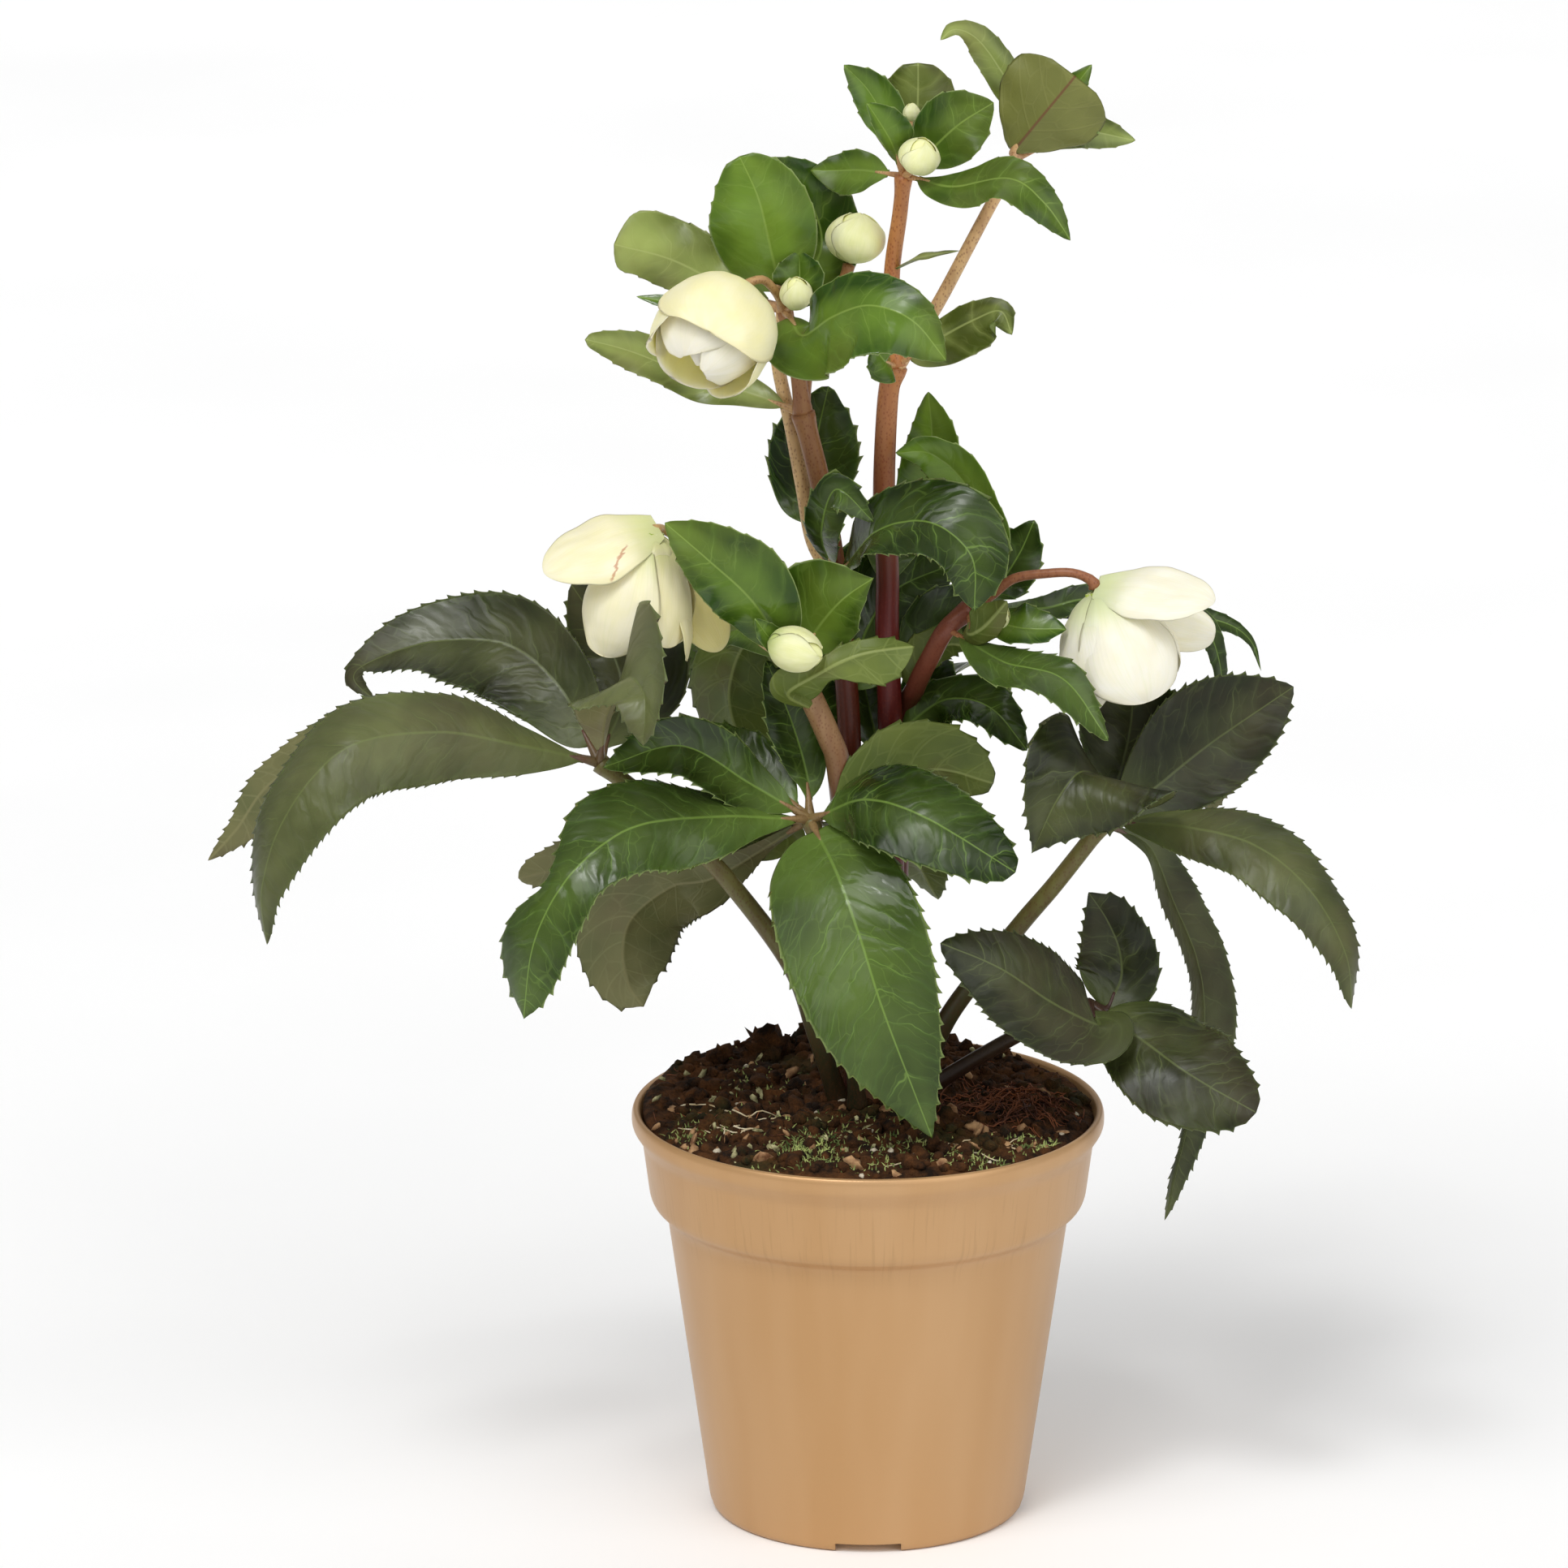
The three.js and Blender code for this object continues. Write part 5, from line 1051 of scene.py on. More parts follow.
# bunches inside an open flower: how many threads, the radius of the disc that they stand on, their length as
# a share of the flower's, their radius below and at the head, and how far they spread
innards = {
    "nectary": dict(skin=plainSkin("nectary_green", "#8ea83c", "#b9c95e", 1.2, 0.4, 0.2), count=12, ring=2.3,
                    share=0.2, thick=0.9, head=1.15, tipOut=1.9),
    "stamen": dict(skin=plainSkin("stamen_thread", "#dfe0ae", "#f1efcf", 1.5, 0.5, 0.1), count=54, ring=2.6,
                   share=0.62, thick=0.22, head=0.24, tipOut=2.3),
    "anther": dict(skin=plainSkin("anther_pollen", "#cfc487", "#e9e2ad", 0.6, 0.75, 0.5), count=54, ring=5.9,
                   share=0.66, thick=0.0, head=0.75, tipOut=1.0),
    "style": dict(skin=plainSkin("style_green", "#9db457", "#c7d284", 1.0, 0.5, 0.2), count=4, ring=0.9,
                  share=0.72, thick=0.5, head=0.3, tipOut=1.6),
}


# A flower's foot, its axis, the direction square to it nearest the front, and the third one, axis x front.
def frameOf(flower):
    axis = unit(np.array(flower["axis"], float))
    front = np.array((0, -1, 0), float)
    front = unit(front - axis * (front @ axis))
    return np.array(flower["base"], float), axis, front, np.cross(axis, front)


farScar = 99.0  # millimetres: nowhere near a scratch


# How wide a petal is, as a share: foot + (1 - foot) sin up to its widest place, then (1 - q^2)^point to its
# tip.
def petalWidth(t, foot=0.42, widest=0.5, point=0.5):
    low = foot + (1 - foot) * np.sin(np.pi / 2 * np.minimum(t / widest, 1))
    return np.where(t < widest, low, np.maximum(1 - ((t - widest) / (1 - widest)) ** 2, 0) ** point)


# Places along and across a petal; the rows gather at both ends, as (1 - cos(pi q)) / 2.
def petalSpots(rows, columnsCount):
    t = (1 - np.cos(np.pi * np.linspace(0, 1, rows)[:, None])) / 2
    return t, np.linspace(-1, 1, columnsCount)[None, :]


# A bell's radius as a share: sin(pi (0.05 + close t))^shoulder, drawn in at its foot by tanh(18 t + 0.35).
def bellShare(t, close, shoulder):
    return np.sin(np.pi * np.minimum(0.05 + close * t, 1)) ** shoulder * np.tanh(18 * t + 0.35)


# A cup petal: P = base + axis z + (cos a front + sin a side) r, with a = at + span s width(t), z = reach
# length t and r = radius bellShare + min(rise t, 1) (layer + flare s^2 t^2 + a soft wave).
def cupPetal(flower, petal, seed, rows=36, columnsCount=29):
    base, axis, front, side = frameOf(flower)
    t, s = petalSpots(rows, columnsCount)
    w = petalWidth(t, flower.get("foot", 0.42), point=flower.get("point", 0.5))
    a = np.radians(petal["at"]) + np.radians(petal["span"]) * s * w
    z = t * petal["reach"] * flower["length"] + 0 * s
    x = s * w * petal["span"] * 0.27
    grown = np.minimum(t * petal.get("rise", 5), 1)
    wave = ripple(x, z, seed, 17) * (0.35 + np.abs(s)) + 0.2 * ripple(x, z, seed + 5, 6)
    wave = 0.028 * flower["radius"] * wave
    share = bellShare(t * petal["reach"], petal.get("close", flower["close"]),
                      petal.get("shoulder", flower["shoulder"]))
    out = petal.get("layer", 0) + petal.get("flare", 0) * s**2 * t**2 + wave
    r = flower["radius"] * share + out * grown
    grid = base + z[..., None] * axis + (r * np.cos(a))[..., None] * front
    grid = grid + (r * np.sin(a))[..., None] * side
    return grid, s + 0 * t, t + 0 * s, np.full(z.shape + (3,), farScar)


# A wing, a petal lifted off the cup: P = start + along L t + across W s width(t) + normal (4 arch t (1 - t) +
# bow s^2 width^2 + a soft wave). Its scar is the distance from a line and the place along it, both by dot
# products with that line.
def wingPetal(wing, seed, rows=40, columnsCount=37):
    start, tip = np.array(wing["start"], float), np.array(wing["tip"], float)
    along = unit(tip - start)
    normal = np.array(wing["normal"], float)
    normal = unit(normal - along * (normal @ along))
    across = np.cross(normal, along)
    length = np.linalg.norm(tip - start)
    t, s = petalSpots(rows, columnsCount)
    w = petalWidth(t, wing["foot"], wing["widest"], wing["point"])
    x, y = s * w * wing["half"], t * length + 0 * s
    high = wing["arch"] * 4 * t * (1 - t) + wing["bow"] * s**2 * w**2
    high = high + 0.55 * ripple(x, y, seed, 15) * (0.2 + np.abs(s)) + 0.09 * ripple(x, y, seed + 2, 5)
    high = high * np.minimum(t * 4, 1)
    grid = start + y[..., None] * along + x[..., None] * across + high[..., None] * normal
    scar = np.full(x.shape + (3,), farScar)
    if "scar" in wing:
        first, last = np.array(wing["scar"], float)
        run = last - first
        gap = np.stack([x, y], -1) - first
        away = (gap[..., 0] * run[1] - gap[..., 1] * run[0]) / np.linalg.norm(run)
        scar = np.stack([away, gap @ run / (run @ run), 0 * x], -1)
    return grid, s + 0 * t, t + 0 * s, scar


# A petal as a thin closed sheet: thicker in the middle, nothing at its rim.
def petalSheet(grid, s, t, scar, tint=0.0, offset=0.0, thickness=0.55):
    body = thickness * (1 - s**4) * np.minimum(t * 6, 1) * np.minimum((1 - t) * 8, 1)
    body[[0, -1]] = 0
    body[:, [0, -1]] = 0
    points = sheetLayers(grid, body, 0 * body)
    rows, columnsCount = s.shape
    quads = np.concatenate([gridFaces(rows, columnsCount),
                            gridFaces(rows, columnsCount, rows * columnsCount, flip=True)])
    place = np.tile(np.stack([s, t, 0 * s + offset], -1).reshape(-1, 3), (2, 1))
    return points, quads, place, np.full(len(points), tint), np.tile(scar.reshape(-1, 3), (2, 1))


# A closed body inside a bell: its radius less `inset`, drawn in to a point at both ends.
def coreSheet(shape, inset, reach=1.0, shoulder=0.62, rows=22, turns=32):
    base, axis, front, side = frameOf(shape)
    t = petalSpots(rows, 2)[0]
    a = np.linspace(0, 2 * np.pi, turns, endpoint=False)[None, :]
    r = np.maximum(shape["radius"] * bellShare(t, 0.95, shoulder) - inset, 0) * np.ones_like(a)
    r[[0, -1]] = 0
    spots = base + (t * reach * shape["length"] + 0 * a)[..., None] * axis
    spots = spots + (r * np.cos(a))[..., None] * front + (r * np.sin(a))[..., None] * side
    place = np.stack([0.2 + 0 * r, t + 0 * a, 0 * r], -1).reshape(-1, 3)
    quads = gridFaces(rows, turns, around=True)[:, ::-1]
    return spots.reshape(-1, 3), quads, place, np.zeros(r.size), np.full((r.size, 3), farScar)


# One object from petal sheets, with the marks that their wax reads.
def putPetals(name, sheets, look):
    points, quads, place, tint, scar = joinGrids(sheets)
    marks = {"petalPlace": place, "petalTint": tint, "petalScar": scar}
    piece = putMesh(name, points, quads, [look], marks, weld=0.003)
    return piece


# Threads from a disc at the flower's foot, each a bent tube whose radius swells to `head` at its end; the
# bend is outwards by tipOut times the thread's distance from the middle. Each is turned from the last by a
# golden angle.
def bunchGrid(flower, bunch, seed, sides=6, goldenAngle=2.39996):
    count, thick, head = bunch["count"], bunch["thick"], bunch["head"]
    base, axis, front, side = frameOf(flower)
    draw = np.random.default_rng(seed)
    k = np.arange(count)
    a = k * goldenAngle
    ring = bunch["ring"] * np.sqrt((k + 0.5) / count)
    length = flower["length"] * bunch["share"] * draw.uniform(0.85, 1.1, count)
    t = np.linspace(0, 1, 9)
    out = ring[:, None] * (1 + (bunch["tipOut"] - 1) * t**1.5) + draw.uniform(-0.4, 0.4, (count, 1)) * t
    around = np.stack([np.cos(a), np.sin(a)], -1)
    centre = base + (length[:, None] * t)[..., None] * axis
    centre = centre + (out * around[:, :1])[..., None] * front + (out * around[:, 1:])[..., None] * side
    radius = thick + (head - thick) * np.clip((t - 0.72) / 0.14, 0, 1)
    radius = np.where(t >= 0.999, 0.02, radius)
    angle = np.linspace(0, 2 * np.pi, sides, endpoint=False)
    ringPoints = np.cos(angle)[:, None] * front + np.sin(angle)[:, None] * side
    points = centre[:, :, None] + radius[None, :, None, None] * ringPoints
    quads = gridFaces(len(t), sides, around=True)
    quads = (quads[None] + (np.arange(count) * len(t) * sides)[:, None, None]).reshape(-1, 4)
    return points.reshape(-1, 3), quads[:, ::-1]


for name, flower in flowers.items():
    seed = seedOf(name)
    petals = [(cupPetal(flower, petal, seed + number), petal)
              for number, petal in enumerate(flower["petals"])]
    petals = [(wingPetal(wing, seed + 9), wing) for wing in flower.get("wings", ())] + petals
    for number, (sheet, petal) in enumerate(petals):
        sheet = petalSheet(*sheet, tint=petal.get("tint", 0.0), offset=0.37 * number)
        wax = petalLooks[petal.get("look", name)]
        piece = putPetals(f"{name}_petal_{number + 1}", [sheet], wax)
        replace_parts(piece, name + ("_outer_petal" if number == 0 else "_cup"))
    if "shut" in flower:
        putPetals(name + "_core", [coreSheet(flower, **flower["shut"])], petalLooks[name])
        continue
    for kind, bunch in innards.items():
        points, quads = bunchGrid(flower, bunch, seed + bunch["count"])
        piece = putMesh(f"{name}_{kind}_bunch", points, quads, [bunch["skin"]], weld=0.002)
print("flowers made:", len(flowers))

# buds: three sepals that overlap round a closed core, each a little further in than the one before
sepals = dict(first=20, step=118, span=74, reach=(1.0, 0.985, 0.96), layer=(0.55, 0.25, 0.0),
              flare=(0.9, 0.7, 0.5))
for name, bud in buds.items():
    axis, size = unit(np.array(bud["axis"], float)), bud["size"]
    small = size[0] / 8
    shape = dict(base=np.array(bud["at"], float) - axis * size[2], axis=axis, length=2 * size[2],
                 radius=(size[0] + size[1]) / 2, close=0.95, shoulder=0.62)
    sheets = []
    for number in range(3):
        petal = dict(at=sepals["first"] + sepals["step"] * number, span=sepals["span"],
                     reach=sepals["reach"][number], layer=sepals["layer"][number] * small,
                     flare=sepals["flare"][number] * small)
        sheet = cupPetal(shape, petal, seedOf(name) + number, rows=26, columnsCount=25)
        sheets.append(petalSheet(*sheet, offset=0.3 * number, thickness=0.5 * small))
    sheets.append(coreSheet(shape, 0.5 * small))
    piece = putPetals(name + "_sepals", sheets, petalLooks["bud"])
    if not bud.get("extra"):
        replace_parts(piece, name)
print("buds made:", len(buds))


# soil: a rough heap of peat with crumbs, bark, pebbles, moss, roots and a tuft of coir on it
soil = dict(wall=61.9, high=117.0, rimLevel=114.0, back=(-0.5, 0.87), backRise=3.6, turns=260, rings=90,
            lumps=((1.0, 11, 22), (0.85, 12, 8), (0.45, 13, 3.2)), gully=(59.5, 2.4, 1.2))
soilWall = np.array([(41.2, 4.1), (42.4, 5.2), (53.45, 84.4), (54.4, 87.3), (57.6, 90.2), (58.35, 91.6),
                     (60.2, 106.0), (61.4, 110.5)])


# The heap's height: `high` in the middle, falling to `rimLevel` at the wall, up to `backRise` more towards
# the back left, with lumps of a height, a seed and a width, and a gully of a start, a width and a depth.
def soilHeight(x, y):
    distance = np.hypot(x, y)
    out = np.clip(distance / soil["wall"], 0, 1)
    back = np.clip((soil["back"][0] * x + soil["back"][1] * y) / np.maximum(distance, 1), 0, 1)
    edge = soil["rimLevel"] + soil["backRise"] * back**2 * (3 - 2 * back)
    base = soil["high"] + (edge - soil["high"]) * out**3
    lumps = sum(height * ripple(x, y, seed, size) for height, seed, size in soil["lumps"])
    start, wide, deep = soil["gully"]
    gully = -deep * np.clip((distance - start) / wide, 0, 1) ** 2
    return base + lumps * (1 - 0.6 * out**6) + gully


turns = soil["turns"]
a = np.linspace(0, 2 * np.pi, turns, endpoint=False)[None, :]
r = soil["wall"] * np.linspace(0, 1, soil["rings"])[:, None] ** 0.8  # closer together towards the wall
x, y = r * np.cos(a), r * np.sin(a)
top = np.stack([x, y, soilHeight(x, y)], -1)[1:]
wall = np.stack([np.stack([w * np.cos(a[0]), w * np.sin(a[0]), np.full(turns, h)], -1)
                 for w, h in soilWall])
foot = np.zeros((1, turns, 3)) + (0, 0, soilWall[0, 1])
middle = np.zeros((1, turns, 3)) + (0, 0, soilHeight(np.zeros(1), np.zeros(1))[0])
grid = np.concatenate([foot, wall, top[::-1], middle])
peat = peatCompost("damp_peat")
heap = putMesh("soil_heap", grid.reshape(-1, 3), gridFaces(len(grid), turns, around=True), [peat], weld=0.002)
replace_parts(heap, "soil")


# A unit ball as a grid: rows of latitude, columns round the axis.
def ballGrid(rows, columns):
    u = np.linspace(0, np.pi, rows)[:, None]
    w = np.linspace(0, 2 * np.pi, columns, endpoint=False)[None, :]
    spots = np.stack([np.sin(u) * np.cos(w), np.sin(u) * np.sin(w), np.cos(u) + 0 * w], -1)
    return spots.reshape(-1, 3), gridFaces(rows, columns, around=True)[:, ::-1]


# Lumps on the soil: unit balls stretched at random along three axes, flattened, roughened, turned by the
# orthogonal part of a random matrix that leaves them nearly upright, and set half into the soil.
def scatterLumps(name, places, sizes, kind):
    draw = np.random.default_rng(kind["seed"])
    ball, quads = ballGrid(*kind.get("grid", (5, 7)))
    count = len(places)
    upright = np.array([[0, 0, 0], [0, 0, 0], [0, 0, 2.5]])
    turned = np.linalg.qr(draw.normal(size=(count, 3, 3)) + upright)[0]
    stretch = draw.uniform(0.65, 1.15, (count, 1, 3)) * np.array([1, 1, kind["flat"]])
    poles = np.abs(ball[:, 2]) > 0.999
    rough = 1 + 0.17 * draw.normal(size=(count, len(ball), 1)) * ~poles[None, :, None]
    lumps = ball[None] * stretch * rough * sizes[:, None, None]
    lumps = np.einsum("nij,nkj->nki", turned, lumps)
    points = (lumps + places[:, None]).reshape(-1, 3)
    quads = (quads[None] + (np.arange(count) * len(ball))[:, None, None]).reshape(-1, 4)
    piece = putMesh(name, points, quads, [kind["skin"]], weld=0.002)
    return piece


# Places on the soil: even over the disc, or gathered round a centre.
def onSoil(draw, count, centre=(0, 0), spread=None, limit=60.0):
    if spread is None:
        distance, turn = limit * np.sqrt(draw.uniform(0, 1, count)), draw.uniform(0, 2 * np.pi, count)
        spots = np.stack([distance * np.cos(turn), distance * np.sin(turn)], 1)
    else:
        spots = np.array(centre) + draw.normal(size=(count, 2)) * np.array(spread)
        out = np.linalg.norm(spots, axis=1, keepdims=True)
        spots = spots * np.minimum(1, limit / np.maximum(out, 1e-6))
    return np.column_stack([spots, soilHeight(spots[:, 0], spots[:, 1])])


# What lies on the soil. A patch is a count and, where it is gathered, a centre and its spread both ways;
# `clods` are places and sizes. `size` is the least size, how much more the largest has and how rare large
# ones are, `flat` the height as a share, and `grid` the rows and columns of one lump.
litter = {
    "soil_crumbs": dict(skin=peat, patches=[(1100,)], size=(0.5, 2.7, 3), flat=0.8, seed=42),
    "soil_clods": dict(
        skin=peat, flat=0.75, seed=43, grid=(13, 18),
        clods=[(-28, 44, 7.5), (-16, 50, 5.5), (-40, 34, 4.0), (20, -44, 3.2), (-44, -22, 3.6),
               (36, -36, 3.0), (0, 46, 4.0), (48, 12, 3.2), (-6, -50, 2.6)]),
    "bark_chips": dict(
        skin=plainSkin("bark_chip", "#6d4526", "#bd9569", 2.5, 0.8, 0.6), size=(1.0, 2.0, 1), flat=0.35,
        seed=44, patches=[(46,), (20, (-30, -30), (14, 10)), (16, (34, -30), (14, 8))]),
    "soil_pebbles": dict(
        skin=plainSkin("pale_pebble", "#a59a84", "#ded3bb", 1.5, 0.6, 0.3), size=(0.5, 0.8, 1), flat=0.8,
        seed=45, patches=[(34,)]),
    "dry_moss_flakes": dict(
        skin=plainSkin("dry_moss_flake", "#5f5a30", "#cfc898", 2.2, 0.85, 0.5), size=(0.4, 1.7, 2), flat=0.35,
        seed=46, patches=[(50, (-16, -34), (14, 9)), (55, (-34, 4), (10, 18)), (30,)]),
}
draw = np.random.default_rng(41)
for name, kind in litter.items():
    if "clods" in kind:
        spots = np.array(kind["clods"], float)
        places, sizes = np.column_stack([spots[:, :2], soilHeight(spots[:, 0], spots[:, 1])]), spots[:, 2]
    else:
        places = np.vstack([onSoil(draw, *patch) for patch in kind["patches"]])
        least, more, power = kind["size"]
        sizes = least + more * draw.uniform(0, 1, len(places)) ** power
    scatterLumps(name, places, sizes, kind)


# Threads of `rings` rings of three points each: their faces, with both ends closed.
def threadFaces(count, rings):
    last = 3 * rings - 3
    quads = np.concatenate([gridFaces(rings, 3, around=True),
                            [[0, 2, 1, 1], [last, last + 1, last + 2, last + 2]]])
    return (quads[None] + (np.arange(count) * 3 * rings)[:, None, None]).reshape(-1, 4)


threeTurns = np.array([0, 2 * np.pi / 3, 4 * np.pi / 3])


# Shoots that stand on the soil: each is five rings of three, tapering to its tip, that leans by up to
# `spread` in a random direction and bends over as the square of its height.
def bladesOn(name, places, lengths, width, material, seed, spread=1.0, bend=0.6):
    draw = np.random.default_rng(seed)
    count = len(places)
    turn = draw.uniform(0, 2 * np.pi, count)
    lean = draw.uniform(0, spread, count)
    t = np.linspace(0, 1, 5)
    out = lengths[:, None] * (lean[:, None] * t + bend * lean[:, None] * t**2)
    up = lengths[:, None] * t * np.sqrt(np.maximum(1 - (lean[:, None] * (0.6 + 0.4 * t)) ** 2, 0.02)) - 0.3
    heading = np.stack([np.cos(turn), np.sin(turn), 0 * turn], -1)
    across = np.stack([-np.sin(turn), np.cos(turn), 0 * turn], -1)
    centre = places[:, None] + out[..., None] * heading[:, None] + up[..., None] * np.array([0, 0, 1.0])
    radius = width * (1 - 0.9 * t)
    ring = np.cos(threeTurns)[None, :, None] * across[:, None]
    ring = ring + np.sin(threeTurns)[None, :, None] * heading[:, None]
    points = centre[:, :, None] + radius[None, :, None, None] * ring[:, None]
    piece = putMesh(name, points.reshape(-1, 3), threadFaces(count, 5), [material])


moss = plainSkin("moss_shoot", "#3a4f14", "#bdc878", 4.0, 0.8, 0.2)
# a tuft's middle, its spread both ways and its number of shoots
shoots = dict(long=(0.7, 1.9), thick=0.42)
tufts = ((-16, -40, 5, 4, 420), (-6, -50, 9, 3, 200), (-46, -24, 4, 6, 140), (24, -46, 8, 4, 170),
         (44, -34, 5, 4, 120), (-30, 12, 6, 10, 130), (-8, -22, 8, 5, 120), (6, -36, 7, 4, 150))
places = np.vstack([onSoil(draw, tuft[4], tuft[:2], tuft[2:4]) for tuft in tufts])
bladesOn("moss_tufts", places, draw.uniform(*shoots["long"], len(places)), shoots["thick"], moss, 51)


# Threads that lie matted on the soil: each is eight rings of three round a curve whose heading turns at a
# steady rate, lifted by its place's own height and by a half sine along it.
def threadsOn(name, places, lengths, width, material, seed, curl=0.16, hump=0.14):
    draw = np.random.default_rng(seed)
    count, rings = len(places), 8
    s = np.linspace(0, 1, rings)
    heading = draw.uniform(0, 2 * np.pi, (count, 1))
    heading = heading + draw.normal(0, curl, (count, 1)) * lengths[:, None] * s
    step = lengths[:, None] / (rings - 1)
    x = places[:, :1] + np.cumsum(np.cos(heading) * step, 1)
    y = places[:, 1:2] + np.cumsum(np.sin(heading) * step, 1)
    inward = np.minimum(1, 59.5 / np.maximum(np.hypot(x, y), 1e-6))
    x, y = x * inward, y * inward
    rise = draw.uniform(0, hump, (count, 1)) * lengths[:, None] * np.sin(np.pi * s)
    lift = places[:, 2:] * np.exp(-(((x - places[:, :1]) / 8) ** 2) - ((y - places[:, 1:2]) / 8) ** 2)
    centre = np.stack([x, y, soilHeight(x, y) + rise + lift], -1)
    across = np.stack([-np.sin(heading), np.cos(heading), 0 * heading], -1)
    radius = width * (1 - 0.7 * np.abs(2 * s - 1) ** 3)
    ring = np.cos(threeTurns)[:, None] * across[:, :, None]
    ring = ring + np.sin(threeTurns)[:, None] * np.array([0, 0, 1.0])
    points = centre[:, :, None] + radius[None, :, None, None] * ring
    piece = putMesh(name, points.reshape(-1, 3), threadFaces(count, rings), [material])


coir = dict(at=(40, -4), spread=(7, 7), count=420, heap=4.2, wide=9, long=(4, 12), thick=0.24)
strays = dict(count=60, lift=0.1, long=(3, 9), thick=0.16)
coirSkin = plainSkin("coir_fibre", "#3c1c10", "#96562f", 6.0, 0.85, 0.2)
places = onSoil(draw, coir["count"], coir["at"], coir["spread"])
away = (places[:, :2] - np.array(coir["at"])) / coir["wide"]
heaped = np.exp(-(away[:, 0] ** 2) - away[:, 1] ** 2)
places[:, 2] = draw.uniform(0, coir["heap"], len(places)) * heaped
threadsOn("coir_tuft", places, draw.uniform(*coir["long"], len(places)), coir["thick"], coirSkin, 52)
places = onSoil(draw, strays["count"])
places[:, 2] = strays["lift"]
threadsOn("stray_fibres", places, draw.uniform(*strays["long"], len(places)), strays["thick"], coirSkin, 53,
          hump=0.05)

# roots: threads that wander over the soil, from nine places at the left and five in front
roots = dict(bunches=(((-38, -24), 9), ((14, -40), 5)), spread=(9, 9), joints=6, step=(2.0, 4.5), bend=0.6,
             limit=56, lift=0.35, thick=(0.28, 0.16))
parts = []
for centre in [centre for centre, count in roots["bunches"] for number in range(count)]:
    start = onSoil(draw, 1, centre, roots["spread"])[0]
    turn = draw.uniform(0, 2 * np.pi)
    step = np.cumsum(draw.uniform(*roots["step"], roots["joints"] - 1))[-1]
    bends = turn + np.cumsum(draw.normal(0, roots["bend"], roots["joints"]))
    px = start[0] + np.cumsum(np.cos(bends)) * step / roots["joints"]
    py = start[1] + np.cumsum(np.sin(bends)) * step / roots["joints"]
    inward = np.minimum(1, roots["limit"] / np.maximum(np.hypot(px, py), 1e-6))
    px, py = px * inward, py * inward
    path = np.stack([px, py, soilHeight(px, py) + roots["lift"]], 1)
    points, quads, u = tubeGrid(path, *roots["thick"], sides=5, step=1.5,
                                reference=np.array([0.01, 0.02, 1.0]))
    parts.append([points, quads])
points, quads = joinGrids(parts)
rootSkin = plainSkin("fine_root", "#c9b083", "#eadfc0", 2.0, 0.7, 0.1)
piece = putMesh("fine_roots", points, quads, [rootSkin], weld=0.001)
print("soil made")

# pot: a turned shell; its foot ring is notched in four places and its floor has four holes
pot = dict(
    outside=[(0, 0), (12, 0), (13, 2.4), (36, 2.4), (37.5, 0), (42.3, 0), (43.4, 1.4), (43.9, 4), (55.2, 84),
             (56.2, 86.2), (59.2, 88.6), (60.1, 90.8), (62.1, 106), (63.4, 108.2), (65, 110.6), (65, 113.4),
             (64.5, 114.7), (63.7, 115)],
    inside=[(62.8, 114.4), (60.9, 107), (58.9, 91.2), (58.2, 89.6), (55.2, 87), (54, 84.4), (42.9, 5),
            (42, 3.8), (0, 3.8)],
    rounding=1.2, turns=192, notchWidth=18, notchHeight=2.6, notchFrom=34, notchTo=48, holeRadius=3.5,
    holeRing=26, holeSides=24)


# A profile with each corner replaced by a short curve: the quadratic through the points `radius` away on both
# sides of it (or half the shorter side).
def roundedProfile(corners, radius, count=4):
    corners = np.array(corners, float)
    out = [corners[0]]
    for before, corner, after in zip(corners[:-2], corners[1:-1], corners[2:]):
        cut = min(radius, np.linalg.norm(before - corner) / 2.2, np.linalg.norm(after - corner) / 2.2)
        first, last = corner + unit(before - corner) * cut, corner + unit(after - corner) * cut
        for t in np.linspace(0, 1, count):
            out.append((1 - t) ** 2 * first + 2 * t * (1 - t) * corner + t**2 * last)
    return np.array(out + [corners[-1]])


plastic = goldPlastic("gold_polypropylene")
profile = roundedProfile(pot["outside"] + pot["inside"], pot["rounding"])
tall = np.linalg.norm(np.diff(profile, axis=0), axis=1)
steps = [np.linspace(profile[k], profile[k + 1], max(1, int(tall[k] / 8)), endpoint=False)
         for k in range(len(tall))]
profile = np.vstack(steps + [profile[-1:]])
a = np.linspace(0, 2 * np.pi, pot["turns"], endpoint=False)
shell = np.stack([profile[:, :1] * np.cos(a), profile[:, :1] * np.sin(a), profile[:, 1:] + 0 * a], -1)
shell = putMesh("pot_shell", shell.reshape(-1, 3), gridFaces(len(profile), len(a), around=True), [plastic],
                weld=0.004)


# A block to cut with: the outline from the height `low` to the height `high`, turned round the axis.
def prism(outline, low, high, turn):
    count = len(outline)
    corners = [(x * math.cos(turn) - y * math.sin(turn), x * math.sin(turn) + y * math.cos(turn), z)
               for z in (low, high) for x, y in outline]
    faces = [tuple(range(count - 1, -1, -1)), tuple(range(count, 2 * count))]
    faces += [(k, (k + 1) % count, count + (k + 1) % count, count + k) for k in range(count)]
    mesh = bpy.data.meshes.new("cutter")
    mesh.from_pydata([tuple(c * mm for c in corner) for corner in corners], [], faces)
    cutter = bpy.data.objects.new("cutter", mesh)
    bpy.context.scene.collection.objects.link(cutter)
    return cutter


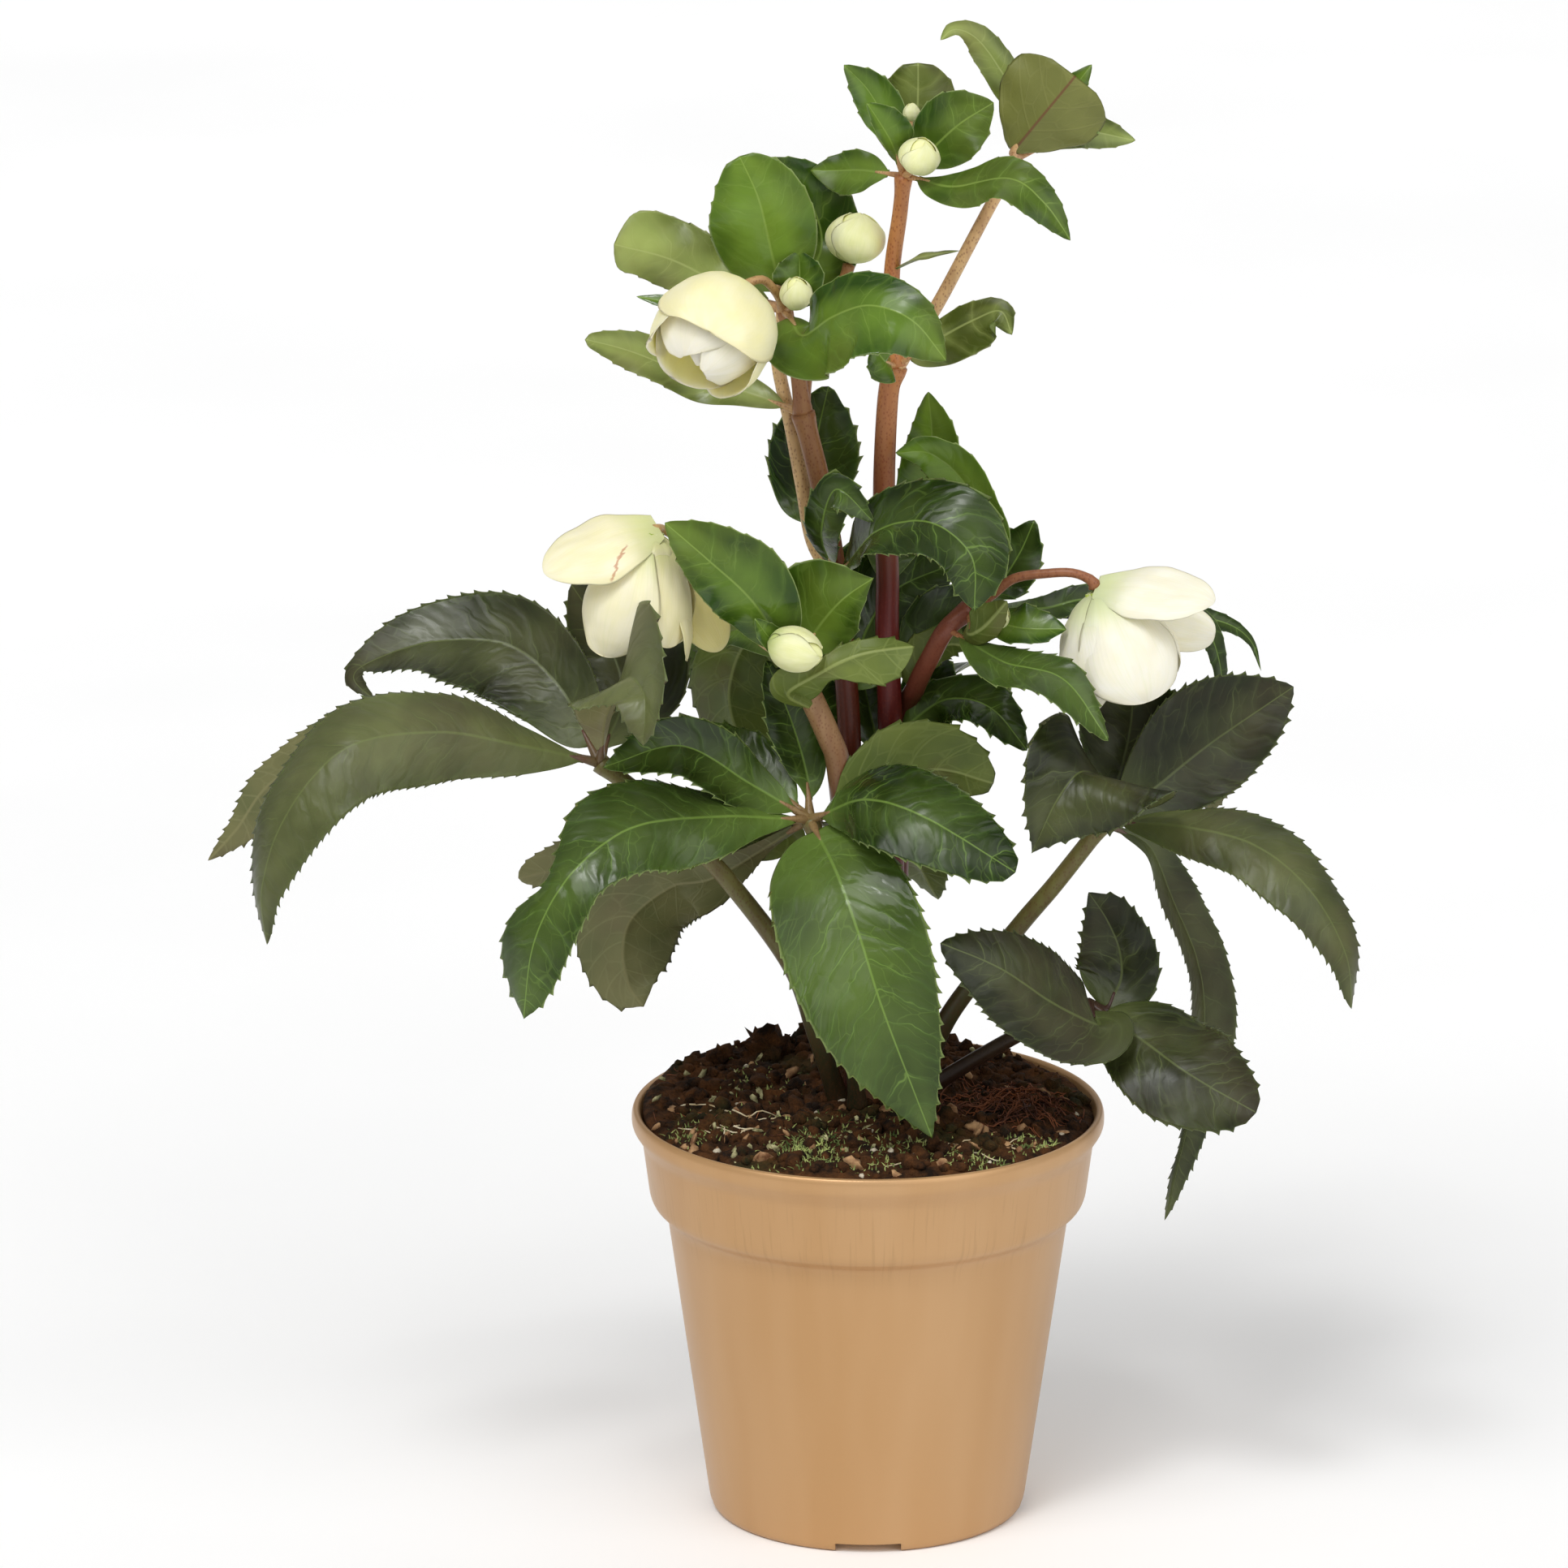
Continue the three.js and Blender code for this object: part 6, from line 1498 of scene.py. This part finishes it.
half = pot["notchWidth"] / 2
notch = [(pot["notchFrom"], -half), (pot["notchTo"], -half), (pot["notchTo"], half), (pot["notchFrom"], half)]
ring = np.linspace(0, 2 * np.pi, pot["holeSides"], endpoint=False)
hole = [(pot["holeRing"] + pot["holeRadius"] * math.cos(w), pot["holeRadius"] * math.sin(w)) for w in ring]
for number in range(4):
    for outline, high, further in ((notch, pot["notchHeight"], 0), (hole, 6, math.pi / 4)):
        cutter = prism(outline, -1, high, math.radians(90 * number) + further)
        cut = shell.modifiers.new("cut", "BOOLEAN")
        cut.operation, cut.solver, cut.object = "DIFFERENCE", "EXACT", cutter
        bpy.context.view_layer.objects.active = shell
        bpy.ops.object.modifier_apply(modifier=cut.name)
        mesh = cutter.data
        bpy.data.objects.remove(cutter)
        bpy.data.meshes.remove(mesh)
shell.data.shade_smooth()
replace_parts(shell, "pot")
print("pot made")

# floor, light and camera: the strength of the room's light, the floor's corners, and each sun's heading from
# the object, its height and its angle across in degrees, and its strength
studio = dict(world=0.34, floor=((-8000, -4000), (8000, 12000)), suns=[
    ("key_light", -32, 48, 38, 1.3), ("gloss_light", -24, 58, 10, 0.5), ("fill_light", 42, 34, 55, 1.0),
    ("back_light", 165, 50, 60, 0.35)])
paper = plainSkin("white_paper_floor", "#fafafa", "#ffffff", 400.0, 0.9, 0.02)
(left, near), (right, far) = studio["floor"]
corners = np.array([(left, near, 0), (right, near, 0), (right, far, 0), (left, far, 0)], float)
floor = putMesh("studio_floor", corners, np.array([[0, 1, 2, 3]]), [paper], body=None)

world = bpy.data.worlds.new("soft_white_room")
world.use_nodes = True
world.node_tree.nodes["Background"].inputs["Color"].default_value = (1, 1, 1, 1)
world.node_tree.nodes["Background"].inputs["Strength"].default_value = studio["world"]
bpy.context.scene.world = world
for name, heading, height, wide, strength in studio["suns"]:
    light = bpy.data.lights.new(name, "SUN")
    light.energy, light.angle = strength, math.radians(wide)
    lamp = bpy.data.objects.new(name, light)
    turn, rise = math.radians(heading), math.radians(height)
    toLight = Vector((math.sin(turn) * math.cos(rise), -math.cos(turn) * math.cos(rise), math.sin(rise)))
    lamp.rotation_euler = toLight.to_track_quat("Z", "Y").to_euler()
    bpy.context.scene.collection.objects.link(lamp)

# the camera's place in metres, degrees down, focal length and frame in pixels, sensor in millimetres
view = dict(at=(-0.0231, -2.8, 1.026), down=16.3, focal=13180, frame=1932, sensor=36.0, end=60.0)
camera = bpy.data.cameras.new("camera")
camera.sensor_width = view["sensor"]
camera.lens = view["focal"] / view["frame"] * camera.sensor_width
camera.clip_end = view["end"]
eye = bpy.data.objects.new("camera", camera)
eye.location = view["at"]
eye.rotation_euler = (math.radians(90 - view["down"]), 0, 0)
bpy.context.scene.collection.objects.link(eye)
bpy.context.scene.camera = eye
bpy.context.scene.view_settings.view_transform = "Standard"
print("studio made")
